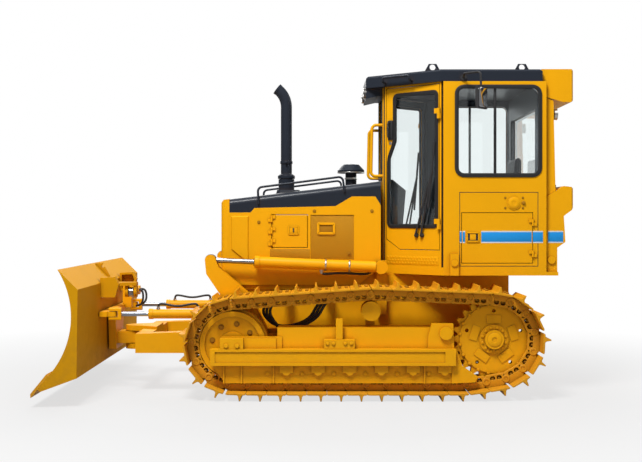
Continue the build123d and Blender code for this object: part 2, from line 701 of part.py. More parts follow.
def engine_block():
    """The engine and radiator core as one plain mass."""
    with BuildPart() as block:
        with BuildSketch(Plane.XY.offset(HULL_BOTTOM + HULL_WALL)):
            with Locations((ENGINE_X, 0)):
                Rectangle(ENGINE_LENGTH, ENGINE_WIDTH)
        extrude(amount=ENGINE_HEIGHT)
    return block.part


def hood_line(x):
    """Height of the hood's top at this X."""
    share = (HOOD_FRONT_X - x) / (HOOD_FRONT_X - HOOD_REAR_X)
    return HOOD_FRONT_Z + share * (HOOD_REAR_Z - HOOD_FRONT_Z)


def hood_space():
    """The space below the hood's sloping top and the stack's raised seat, to trim what stands on it."""
    front, rear = HOOD_FRONT_X, HOOD_REAR_X
    with BuildPart() as space:
        with BuildSketch(side_plane(HOOD_HALF)):
            Polygon((front, hood_line(front) - 300), (front, hood_line(front) + GAP),
                    (rear, hood_line(rear) + GAP),
                    (rear, hood_line(rear) - 300), align=None)
        extrude(amount=2 * HOOD_HALF)
        with BuildSketch(Plane.XY.offset(hood_line(STACK_X) - 40)):
            with Locations((STACK_X, 0)):
                Rectangle(300, 300)
        extrude(amount=74 + GAP)
    return space.part


def band_line(drop=0.0):
    """Lower edge of the dark cover's side from front to rear, lowered by drop: (x, z)."""
    return [(x, hood_line(x) - depth - drop) for x, depth in HOOD_BAND]


def hood_top():
    """The dark top cover, bent down at both sides to a stepped lower edge."""
    front, rear = HOOD_BAND[0][0], HOOD_BAND[-1][0]
    with BuildPart() as cover:
        with BuildSketch(side_plane(HOOD_HALF)):
            Polygon((front, hood_line(front)), *band_line(), (rear, hood_line(rear)), align=None)
        extrude(amount=2 * HOOD_HALF)
        shoulders = cover.edges().filter_by(lambda e: abs((e % 0.5).X) > 0.9).group_by(Axis.Z)[-1]
        fillet(shoulders, HOOD_SHOULDER)
        with BuildSketch(side_plane(HOOD_HALF - HOOD_SKIN)):
            Polygon((front + 1, hood_line(front) - 400), (front + 1, hood_line(front + 1) - HOOD_SKIN),
                    (rear - 1, hood_line(rear - 1) - HOOD_SKIN), (rear - 1, hood_line(rear) - 400),
                    align=None)
        extrude(amount=2 * (HOOD_HALF - HOOD_SKIN), mode=Mode.SUBTRACT)
        with BuildSketch(Plane.XY.offset(hood_line(STACK_X) - HOOD_SKIN - 12)):
            with Locations((STACK_X - 20, 0)):
                RectangleRounded(250, 240, 60)
        extrude(amount=HOOD_SKIN + 46, taper=16)
    return cover.part


def nose():
    """The radiator guard: a heavy frame round the front with upright slats."""
    back = HOOD_BAND[0][0] + GAP
    middle, tall = (NOSE_BOTTOM + HOOD_FRONT_Z) / 2, HOOD_FRONT_Z - NOSE_BOTTOM
    with BuildPart() as guard:
        with BuildSketch(side_plane(HOOD_HALF)):
            Polygon((HOOD_FRONT_X, NOSE_BOTTOM), (HOOD_FRONT_X, HOOD_FRONT_Z - 24),
                    (HOOD_FRONT_X - 24, hood_line(HOOD_FRONT_X - 24)),
                    (back, hood_line(back)), (back, RAIL_TOP + 40), (HULL_FRONT + GAP, RAIL_TOP),
                    (HULL_FRONT + GAP, NOSE_BOTTOM), align=None)
        extrude(amount=2 * HOOD_HALF)
        upright = guard.edges().filter_by(lambda e: abs((e % 0.5).Z) > 0.95).group_by(Axis.X)[-1]
        fillet(upright, NOSE_CORNER)
        with BuildSketch(Plane.YZ.offset(HULL_FRONT - 10)):
            with Locations((0, middle)):
                RectangleRounded(2 * (HOOD_HALF - NOSE_FRAME), tall - 2 * NOSE_FRAME - 20, 40)
        extrude(amount=400, mode=Mode.SUBTRACT)
        with BuildSketch(Plane.YZ.offset(HOOD_FRONT_X - 70)):
            with Locations((0, middle)):
                with GridLocations(SLAT_STEP, 1, SLAT_COUNT, 1):
                    Rectangle(SLAT_THICK, tall - 2 * NOSE_FRAME - 18)
                Rectangle(2 * (HOOD_HALF - NOSE_FRAME) + 2, 30)
        extrude(amount=50)
    return guard.part


def wall_face(y):
    """The outer face of a left wall at this Y, with x towards the rear, y up and z outwards."""
    return Plane(origin=(0, y, 0), x_dir=(-1, 0, 0), z_dir=(0, 1, 0))


def hood_side():
    """One yellow side panel of the hood, with the engine door's opening and a lift-off panel's recess."""
    front, rear = HOOD_BAND[0][0], HOOD_BAND[-1][0]
    low = RAIL_TOP + 40
    with BuildPart() as panel:
        with BuildSketch(side_plane(HOOD_HALF)):
            Polygon((front, low), *band_line(GAP), (rear, HULL_TOP + 60), (rear + 200, low), align=None)
            Polygon(*box_points(DOOR_FRONT_X, DOOR_REAR_X, DOOR_BOTTOM, DOOR_TOP, SWING_GAP), align=None,
                    mode=Mode.SUBTRACT)
        extrude(amount=HOOD_SKIN)
        with BuildSketch(side_plane(HOOD_HALF)):
            Polygon(*box_points(DOOR_REAR_X - 30, LIFT_OFF_REAR_X, LIFT_OFF_BOTTOM, DOOR_TOP), align=None)
        extrude(amount=PANEL_RECESS, mode=Mode.SUBTRACT)
        with BuildSketch(side_plane(HOOD_HALF - PANEL_RECESS)):
            with Locations(((DOOR_REAR_X + LIFT_OFF_REAR_X) / 2 + 40, DOOR_TOP - 122)):
                RectangleRounded(140, 88, 12)
        extrude(amount=10, mode=Mode.SUBTRACT)
        with BuildSketch(side_plane(HOOD_HALF)):
            Polygon((front - 15, band_line(30)[0][1]), (HOOD_BAND[1][0] + 15, band_line(30)[1][1]),
                    (HOOD_BAND[1][0] + 15, LIFT_OFF_BOTTOM - 40), (front - 15, LIFT_OFF_BOTTOM + 90),
                    align=None)
        extrude(amount=-12, taper=40)
        with BuildSketch(side_plane(HOOD_HALF - HOOD_SKIN)):
            Polygon(*box_points(HULL_FRONT, rear + 60, RAIL_TOP + GAP, RAIL_TOP + 140), align=None)
        extrude(amount=HULL_WALL)
        add(hinge_halves(wall_face(HOOD_HALF), -DOOR_HINGE_X, DOOR_HINGE_ZS, DOOR_KNUCKLE, -DOOR_LEAF, 0))
    return panel.part


def engine_door():
    """The engine's small side door, hinged at its front edge."""
    with BuildPart() as door:
        with BuildSketch(side_plane(HOOD_HALF)):
            Polygon((DOOR_FRONT_X, DOOR_BOTTOM), (DOOR_FRONT_X, DOOR_TOP), (DOOR_REAR_X, DOOR_TOP),
                    (DOOR_REAR_X, DOOR_BOTTOM), align=None)
        extrude(amount=HOOD_SKIN)
        add(hinge_halves(wall_face(HOOD_HALF), -DOOR_HINGE_X, DOOR_HINGE_ZS, DOOR_KNUCKLE, DOOR_LEAF, 1))
    return door.part


def exhaust_stack():
    """The exhaust stack with its collar and a top bent forward."""
    base = hood_line(STACK_X)
    with BuildPart() as stack:
        with BuildSketch(Plane.XY.offset(base - 30)):
            with Locations((STACK_X, 0)):
                Circle(74)
        extrude(amount=166)
        with BuildLine() as path:
            rise = Line((STACK_X, 0, base + 100), (STACK_X, 0, STACK_TOP - 210))
            TangentArc([rise @ 1, (STACK_X + 80, 0, STACK_TOP - 45)], tangent=rise % 1)
        with BuildSketch(Plane(origin=rise @ 0, z_dir=(0, 0, 1))):
            Circle(STACK_RADIUS)
        sweep(path=path.wires()[0])
        add(hood_space(), mode=Mode.SUBTRACT)
    return stack.part


def precleaner():
    """The mushroom-shaped air pre-cleaner on its stem."""
    base = hood_line(PRECLEANER_X)
    with BuildPart() as cleaner:
        with BuildSketch(Plane.XZ):
            with BuildLine():
                Polyline((PRECLEANER_X, base - 30), (PRECLEANER_X + 52, base - 30),
                         (PRECLEANER_X + 52, base + 125),
                         (PRECLEANER_X + 122, base + 128), (PRECLEANER_X + 127, base + 145),
                         (PRECLEANER_X + 75, base + 200),
                         (PRECLEANER_X, base + 212), close=True)
            make_face()
        revolve(axis=Axis((PRECLEANER_X, 0, 0), (0, 0, 1)))
        add(hood_space(), mode=Mode.SUBTRACT)
    return cleaner.part


# Cab
def cab_plan(grow=0.0):
    """Corners of the cab's plan, grown outwards by a distance along X and Y."""
    return [
        (CAB_FRONT_X + grow, CAB_FRONT_HALF + grow), (CAB_CORNER_X + grow, CAB_HALF + grow),
        (CAB_REAR_X - grow, CAB_HALF + grow), (CAB_REAR_X - grow, -CAB_HALF - grow),
        (CAB_CORNER_X + grow, -CAB_HALF - grow), (CAB_FRONT_X + grow, -CAB_FRONT_HALF - grow),
    ]


def cab_floor():
    """The cab's floor with the deck plate under it, its bolted feet and the feet of the fuel tank."""
    foot = box_points(FOOT_X, FOOT_X - FOOT_LENGTH, DECK_TOP + 12, FOOT_TOP)
    with BuildPart() as floor_plate:
        with BuildSketch(Plane.XY.offset(DECK_BOTTOM)):
            Polygon(*cab_plan(0.0), align=None)
            with Locations(((CAB_REAR_X + DECK_REAR_X) / 2, 0)):
                Rectangle(CAB_REAR_X - DECK_REAR_X, 2 * (TANK_HALF + DECK_MARGIN))
        extrude(amount=DECK_THICK)
        with BuildSketch(Plane.XY.offset(DECK_BOTTOM)):
            Polygon(*cab_plan(0.0), align=None)
        extrude(amount=DECK_THICK + FLOOR_THICK)
        for side in (1, -1):
            with BuildSketch(side_plane(side * (CAB_HALF + FOOT_PROUD))):
                Polygon(*foot, align=None)
            extrude(amount=side * (FOOT_PROUD - GAP))
            with BuildSketch(side_plane(side * (CAB_HALF + FOOT_PROUD))):
                Polygon(*box_points(FOOT_X, FOOT_X - FOOT_LENGTH, DECK_BOTTOM, FLOOR_TOP - GAP), align=None)
            extrude(amount=side * (FOOT_PROUD + 10))
            with BuildSketch(side_plane(side * (CAB_HALF + FOOT_PROUD + 12))):
                with Locations((FOOT_X - FOOT_LENGTH / 2, (DECK_TOP + FOOT_TOP) / 2)):
                    Circle(FOOT_LENGTH / 2 - 8)
            extrude(amount=side * 14)
            with BuildSketch(side_plane(side * TANK_HALF)):
                Polygon(*box_points(CAB_REAR_X - SWING_GAP, DECK_REAR_X, DECK_TOP - 5, TANK_BOTTOM - GAP),
                        align=None)
            extrude(amount=side * FOOT_LENGTH)
            with BuildSketch(side_plane(side * (TANK_HALF + 14))):
                with Locations(((CAB_REAR_X + DECK_REAR_X) / 2, (DECK_TOP + TANK_BOTTOM) / 2)):
                    Circle(FOOT_LENGTH / 2 - 4)
            extrude(amount=side * 20)
    return floor_plate.part


def box_points(front, rear, low, high, grow=0.0):
    """Corners of an upright rectangle in X and Z."""
    return [(front + grow, low - grow), (front + grow, high + grow), (rear - grow, high + grow),
            (rear - grow, low - grow)]


def window_place(window):
    """Middle of an upright window in X and Z, and its width and height."""
    front, rear, low, high = window
    return ((front + rear) / 2, (low + high) / 2), front - rear, high - low


def cab_side():
    """A side wall behind the door, with its window cut, the lower panel's seam and a recess for the hatch."""
    middle, wide, tall = window_place(SIDE_WINDOW)
    with BuildPart() as wall:
        with BuildSketch(side_plane(CAB_HALF)):
            Polygon(*box_points(CAB_CORNER_X, CAB_REAR_X + CAB_WALL, FLOOR_TOP, CAB_TOP), align=None)
            with Locations(middle):
                RectangleRounded(wide, tall, WINDOW_CORNER, mode=Mode.SUBTRACT)
        extrude(amount=CAB_WALL)
        with BuildSketch(side_plane(CAB_HALF)):
            Polygon(*box_points(*SIDE_PANEL), align=None)
            Polygon(*box_points(*SIDE_PANEL, -PANEL_SEAM), align=None, mode=Mode.SUBTRACT)
        extrude(amount=PANEL_SEAM, mode=Mode.SUBTRACT)
        with BuildSketch(side_plane(CAB_HALF)):
            Polygon(*box_points(*HATCH, SWING_GAP), align=None)
        extrude(amount=HATCH_PLATE + SWING_GAP, mode=Mode.SUBTRACT)
        with BuildSketch(side_plane(CAB_HALF + 6)):
            with Locations((CAP_X, CAP_PLACE_Z)):
                Circle(CAP_SIZE)
        extrude(amount=16)
        add(hinge_halves(wall_face(CAB_HALF), -HATCH_HINGE_X, HATCH_HINGE_ZS, DOOR_KNUCKLE, DOOR_LEAF, 0))
        add(door_frame())
    return wall.part


def side_hatch():
    """The lower hatch in a side wall, hinged at its rear edge."""
    with BuildPart() as hatch:
        with BuildSketch(side_plane(CAB_HALF)):
            Polygon(*box_points(*HATCH), align=None)
        extrude(amount=HATCH_PLATE)
        add(hinge_halves(wall_face(CAB_HALF), -HATCH_HINGE_X, HATCH_HINGE_ZS, DOOR_KNUCKLE, -DOOR_LEAF, 1))
    return hatch.part


def side_glass():
    """The pane of a side window."""
    middle, wide, tall = window_place(SIDE_WINDOW)
    with BuildPart() as pane:
        with BuildSketch(side_plane(CAB_HALF - CAB_WALL / 3)):
            with Locations(middle):
                RectangleRounded(wide - 2 * GAP, tall - 2 * GAP, WINDOW_CORNER)
        extrude(amount=PANE)
    return pane.part


def cab_front():
    """The front wall behind the hood, with the windshield's opening."""
    with BuildPart() as wall:
        with BuildSketch(Plane.YZ.offset(CAB_FRONT_X - CAB_WALL)):
            with Locations((0, (FLOOR_TOP + CAB_TOP) / 2)):
                Rectangle(2 * CAB_FRONT_HALF - CAB_WALL, CAB_TOP - FLOOR_TOP)
            with Locations((0, sum(FRONT_WINDOW) / 2)):
                Rectangle(2 * (CAB_FRONT_HALF - SHIELD_POST), FRONT_WINDOW[1] - FRONT_WINDOW[0],
                          mode=Mode.SUBTRACT)
        extrude(amount=CAB_WALL)
    return wall.part


def cab_rear():
    """The rear wall with its window cut."""
    with BuildPart() as wall:
        with BuildSketch(Plane.YZ.offset(CAB_REAR_X)):
            with Locations((0, (FLOOR_TOP + CAB_TOP) / 2)):
                Rectangle(2 * CAB_HALF, CAB_TOP - FLOOR_TOP)
            with Locations((0, sum(REAR_WINDOW) / 2)):
                Rectangle(2 * (CAB_HALF - REAR_SIDE), REAR_WINDOW[1] - REAR_WINDOW[0], mode=Mode.SUBTRACT)
        extrude(amount=CAB_WALL)
    return wall.part


def cab_glass():
    """The fixed panes: windshield, rear window and both side windows."""
    left = side_glass()
    with BuildPart() as panes:
        with BuildSketch(Plane.YZ.offset(CAB_FRONT_X - CAB_WALL / 2)):
            with Locations((0, sum(FRONT_WINDOW) / 2)):
                Rectangle(2 * (CAB_FRONT_HALF - SHIELD_POST) - 2 * GAP,
                          FRONT_WINDOW[1] - FRONT_WINDOW[0] - 2 * GAP)
        extrude(amount=PANE)
        with BuildSketch(Plane.YZ.offset(CAB_REAR_X + CAB_WALL / 2)):
            with Locations((0, sum(REAR_WINDOW) / 2)):
                Rectangle(2 * (CAB_HALF - REAR_SIDE) - 2 * GAP, REAR_WINDOW[1] - REAR_WINDOW[0] - 2 * GAP)
        extrude(amount=PANE)
        add(left)
        add(other_side(left))
    return panes.part


def door_plane():
    """The outer face of the left door: origin at the front corner, x towards the rear, y up, z outwards."""
    along = Vector(CAB_CORNER_X - CAB_FRONT_X, CAB_HALF - CAB_FRONT_HALF, 0).normalized()
    outward = Vector(along.Y, -along.X, 0)
    return Plane(origin=(CAB_FRONT_X, CAB_FRONT_HALF, 0), x_dir=along, z_dir=outward)


def door_window(face, shrink=0.0):
    """The door window's outline in a plane: it draws back above the handle."""
    left, right = DOOR_EDGE + DOOR_RAIL, DOOR_WIDTH - DOOR_EDGE - DOOR_RAIL
    low, high = DOOR_WINDOW
    step_low, step_high = low + 0.52 * (high - low), low + 0.65 * (high - low)
    with BuildSketch(face) as outline:
        Polygon((left, low), (right, low), (right, high), (left + DOOR_STEP, high),
                (left + DOOR_STEP, step_high),
                (left, step_low), align=None)
        fillet(outline.vertices(), DOOR_WINDOW_CORNER)
        if shrink:
            offset(amount=-shrink, mode=Mode.REPLACE)
    return outline.sketch


def cab_door():
    """The left door: its frame with the long window cut and the lower front corner cut away."""
    left, right = DOOR_EDGE, DOOR_WIDTH - DOOR_EDGE
    face = door_plane()
    with BuildPart() as door:
        with BuildSketch(face):
            Polygon((left, CAB_DOOR_BOTTOM + 90), (left + 150, CAB_DOOR_BOTTOM), (right, CAB_DOOR_BOTTOM),
                    (right, CAB_DOOR_TOP), (left, CAB_DOOR_TOP), align=None)
        extrude(amount=-CAB_DOOR_THICK)
        extrude(to_extrude=door_window(face), amount=-CAB_DOOR_THICK, mode=Mode.SUBTRACT)
        add(hinge_halves(face, CAB_HINGE_X, CAB_HINGE_ZS, CAB_KNUCKLE, -CAB_LEAF, 1))
    return door.part


def door_glass():
    """The pane of the left door."""
    with BuildPart() as pane:
        extrude(to_extrude=door_window(door_plane().offset(-CAB_DOOR_THICK / 3), GAP), amount=-PANE)
    return pane.part


def door_frame():
    """The fixed frame round the left door: two posts, a sill and a header in the angled plane."""
    face = door_plane()
    inset = CAB_WALL * tan(radians(22))
    with BuildPart() as frame:
        with BuildSketch(face):
            Polygon((inset, FLOOR_TOP), (DOOR_WIDTH - inset, FLOOR_TOP), (DOOR_WIDTH - inset, CAB_TOP),
                    (inset, CAB_TOP),
                    align=None)
            Polygon((DOOR_EDGE - SWING_GAP, CAB_DOOR_BOTTOM + 84),
                    (DOOR_EDGE + 150, CAB_DOOR_BOTTOM - SWING_GAP),
                    (DOOR_WIDTH - DOOR_EDGE + SWING_GAP, CAB_DOOR_BOTTOM - SWING_GAP),
                    (DOOR_WIDTH - DOOR_EDGE + SWING_GAP, CAB_DOOR_TOP + SWING_GAP),
                    (DOOR_EDGE - SWING_GAP, CAB_DOOR_TOP + SWING_GAP), align=None, mode=Mode.SUBTRACT)
        extrude(amount=-CAB_WALL)
        add(hinge_halves(face, CAB_HINGE_X, CAB_HINGE_ZS, CAB_KNUCKLE, DOOR_EDGE - 24, 0))
    return frame.part


def cab_roof():
    """The dark roof cap, with a visor ahead of the windshield and the lamp box under it."""
    front = CAB_FRONT_X + ROOF_VISOR
    with BuildPart() as cap:
        with BuildSketch(Plane.XY.offset(CAB_TOP)):
            Polygon((front, CAB_FRONT_HALF - 40), (CAB_CORNER_X + 25, CAB_HALF), (ROOF_REAR_X, CAB_HALF),
                    (ROOF_REAR_X, -CAB_HALF), (CAB_CORNER_X + 25, -CAB_HALF), (front, 40 - CAB_FRONT_HALF),
                    align=None)
        extrude(amount=ROOF_THICK)
        chamfer(cap.faces().sort_by(Axis.Z)[-1].edges(), ROOF_EDGE)
        with BuildSketch(side_plane(LAMP_BOX_HALF)):
            Polygon((front - 4, CAB_TOP + 20), (front, CAB_TOP - LAMP_BOX_DROP),
                    (CAB_FRONT_X + 40, CAB_TOP - LAMP_BOX_DROP + 25),
                    (CAB_FRONT_X + GAP, CAB_TOP - LAMP_BOX_DROP + 25), (CAB_FRONT_X + GAP, CAB_TOP + 20),
                    align=None)
        extrude(amount=2 * LAMP_BOX_HALF)
    return cap.part


def roof_unit():
    """The air unit that closes the roof at the rear and hangs down behind the wall."""
    high, low = CAB_TOP + ROOF_THICK + 5, CAB_TOP - UNIT_DROP
    with BuildPart() as unit:
        with BuildSketch(side_plane(TANK_HALF)):
            Polygon((ROOF_REAR_X - GAP, CAB_TOP + GAP), (ROOF_REAR_X - GAP, high), (REAR_X, high),
                    (REAR_X, low),
                    (REAR_X + 90, low), (CAB_REAR_X - GAP, low + UNIT_SLOPE),
                    (CAB_REAR_X - GAP, CAB_TOP + GAP), align=None)
        extrude(amount=2 * TANK_HALF)
        chamfer(unit.faces().sort_by(Axis.X)[0].edges(), 14)
    return unit.part


def fuel_tank():
    """The fuel tank behind the cab, with its overhanging upper lip."""
    top = TANK_BOTTOM + TANK_TALL
    with BuildPart() as tank:
        with BuildSketch(side_plane(TANK_HALF)):
            Polygon((CAB_REAR_X - GAP, TANK_BOTTOM), (CAB_REAR_X - GAP, top - TANK_SHOULDER),
                    (REAR_X + 77, top),
                    (REAR_X, top - 9), (REAR_X, top - 200), (REAR_X + 82, top - 260),
                    (REAR_X + 68, TANK_BOTTOM + 52),
                    (REAR_X + 142, TANK_BOTTOM), align=None)
        extrude(amount=2 * TANK_HALF)
        chamfer(tank.faces().sort_by(Axis.X)[0].edges(), 14)
    return tank.part


def rear_posts():
    """The two posts between the fuel tank and the roof's air unit."""
    face, rear = CAB_REAR_X - GAP, CAB_REAR_X - 90
    low, high = TANK_BOTTOM + TANK_TALL - TANK_SHOULDER, CAB_TOP - UNIT_DROP + UNIT_SLOPE
    low_rear = low + TANK_SHOULDER * (face - rear) / (face - REAR_X - 77)
    high_rear = high - UNIT_SLOPE * (face - rear + 18) / (face - REAR_X - 90)
    with BuildPart() as posts:
        for outer_y in (TANK_HALF - 10, 90 - TANK_HALF):
            with BuildSketch(side_plane(outer_y)):
                Polygon((face, low + 1), (face, high - 1), (rear + 18, high_rear - 1), (rear, low_rear + 1),
                        align=None)
            extrude(amount=80)
    return posts.part


def lifting_eyes():
    """Four plate eyes on the roof's top."""
    top = CAB_TOP + ROOF_THICK
    with BuildPart() as eyes:
        for x in EYE_XS:
            for outer_y in (EYE_Y, EYE_PLATE - EYE_Y):
                with BuildSketch(side_plane(outer_y)):
                    Polygon((x - 70, top), (x + 70, top), (x + 34, top + EYE_HEIGHT),
                            (x - 34, top + EYE_HEIGHT), align=None)
                    with Locations((x, top + 36)):
                        Circle(EYE_RADIUS, mode=Mode.SUBTRACT)
                extrude(amount=EYE_PLATE)
    return eyes.part


def seat():
    """The operator's seat on its box."""
    with BuildPart() as chair:
        with BuildSketch(side_plane(250)):
            Polygon((-1400, FLOOR_TOP), (-1400, 1480), (-1380, 1600), (-1820, 1570), (-1900, 2130),
                    (-2020 + 110, 2130),
                    (-1880, 1500), (-1860, FLOOR_TOP), align=None)
        extrude(amount=500)
    return chair.part


def dash():
    """The instrument console behind the windshield's lower edge."""
    back, top = CAB_FRONT_X - CAB_WALL, SHIELD_SILL - 15
    with BuildPart() as console:
        with BuildSketch(side_plane(240)):
            Polygon((back, FLOOR_TOP), (back, top), (back - 40, top), (back - 160, top - 100),
                    (back - 100, FLOOR_TOP),
                    align=None)
        extrude(amount=480)
    return console.part


def tube(points, radius, bend):
    """A round bar along straight runs with rounded corners."""
    with BuildPart() as bar:
        with BuildLine() as path:
            FilletPolyline(*points, radius=bend)
        with BuildSketch(Plane(origin=path.line @ 0, z_dir=path.line % 0)):
            Circle(radius)
        sweep()
    return bar.part


def hood_rails():
    """The bent hand rail along each side of the hood's top, on feet at the dark cover's sides."""
    rail_y = HOOD_HALF + RAIL_RADIUS + GAP
    front, rear = HOOD_RAIL_XS
    rail = tube([(front, rail_y, hood_line(front) - 75), (front + 6, rail_y, hood_line(front) + 72),
                 (rear + 18, rail_y, hood_line(rear) + 78), (rear, rail_y, hood_line(rear) - 58)],
                 RAIL_RADIUS, 40)
    with BuildPart() as rails:
        add(rail)
        add(other_side(rail))
    return rails.part


def grab_rails():
    """The grab rail on each side of the windshield."""
    foot = CAB_FRONT_X + GAP
    low = SHIELD_SILL + 15
    high = SHIELD_SILL + GRAB_SHARE * (FRONT_WINDOW[1] - FRONT_WINDOW[0])
    rail = tube([(foot, GRAB_Y, low), (foot + GRAB_REACH, GRAB_Y, low),
                 (foot + GRAB_REACH - 10, GRAB_Y, high),
                 (foot, GRAB_Y, high)], GRAB_RADIUS, 40)
    with BuildPart() as rails:
        add(rail)
        add(other_side(rail))
    return rails.part


def mirrors():
    """A mirror on a bent arm from each side of the roof."""
    foot_y, plate_y = CAB_HALF + GAP, CAB_HALF + MIRROR_OUT
    arm_z, plate_z = CAB_TOP + 58, CAB_TOP - 162
    arm = tube([(MIRROR_X + 130, foot_y + MIRROR_FOOT / 2, CAB_TOP + 30),
                (MIRROR_X + 130, foot_y + 70, arm_z),
                (MIRROR_X + 10, plate_y, arm_z), (MIRROR_X, plate_y, plate_z)], 9, 28)
    with BuildPart() as mirror_pair:
        with BuildSketch(Plane.XY.offset(plate_z - 95)):
            with Locations(Location((MIRROR_X, plate_y), 50)):
                RectangleRounded(150, 28, 8)
        extrude(amount=190)
        add(arm)
        with BuildSketch(side_plane(foot_y + MIRROR_FOOT)):
            with Locations((MIRROR_X + 130, CAB_TOP + 30)):
                Circle(26)
        extrude(amount=MIRROR_FOOT)
        mirror(about=Plane.XZ)
    return mirror_pair.part


def drawbar():
    """The rear drawbar: two jaws with a pin bore through both."""
    with BuildPart() as jaw:
        for low in (DRAWBAR_Z + 40, DRAWBAR_Z - 80):
            with BuildSketch(Plane.XY.offset(low)):
                with Locations(((DRAWBAR_X + HULL_REAR) / 2, 0)):
                    Rectangle(HULL_REAR - DRAWBAR_X, 140)
                with Locations((DRAWBAR_X, 0)):
                    Circle(70)
                    Circle(DRAWBAR_BORE, mode=Mode.SUBTRACT)
            extrude(amount=40)
        with BuildSketch(Plane.XY.offset(DRAWBAR_Z - 80)):
            with Locations((HULL_REAR - 25, 0)):
                Rectangle(50, 140)
        extrude(amount=160)
    return jaw.part


# Blade linkage
def lift_plane(distance):
    """A plane across the left lift cylinder's axis, this far from its rear pin, facing the rod's eye."""
    along = Vector(LIFT_EYE_X - LIFT_REAR_X, 0, LIFT_EYE_Z - LIFT_REAR_Z).normalized()
    origin = Vector(LIFT_REAR_X, LIFT_Y, LIFT_REAR_Z) + along * distance
    return Plane(origin=origin, x_dir=(0, 1, 0), z_dir=along)


def lift_barrel():
    """The left lift cylinder's barrel, with its rear eye and hollow for the rod."""
    with BuildPart() as barrel:
        with BuildSketch(lift_plane(50)):
            Circle(LIFT_BARREL_RADIUS)
        extrude(amount=LIFT_BARREL_END - 50)
        with BuildSketch(side_plane(LIFT_Y + 30)):
            with Locations((LIFT_REAR_X, LIFT_REAR_Z)):
                Circle(58)
        extrude(amount=60)
        with BuildSketch(side_plane(LIFT_Y + 31)):
            with Locations((LIFT_REAR_X, LIFT_REAR_Z)):
                Circle(LIFT_PIN_RADIUS + RUNNING_GAP)
        extrude(amount=62, mode=Mode.SUBTRACT)
        with BuildSketch(lift_plane(150)):
            Circle(LIFT_ROD_RADIUS + GAP)
        extrude(amount=LIFT_BARREL_END - 150, mode=Mode.SUBTRACT)
    return barrel.part


def lift_rod():
    """The left lift cylinder's rod with the eye at its end."""
    with BuildPart() as rod:
        with BuildSketch(lift_plane(520)):
            Circle(LIFT_ROD_RADIUS)
        extrude(amount=LIFT_LENGTH - 520 - 40)
        with BuildSketch(side_plane(LIFT_Y + 25)):
            with Locations((LIFT_EYE_X, LIFT_EYE_Z)):
                Circle(52)
        extrude(amount=50)
    return rod.part


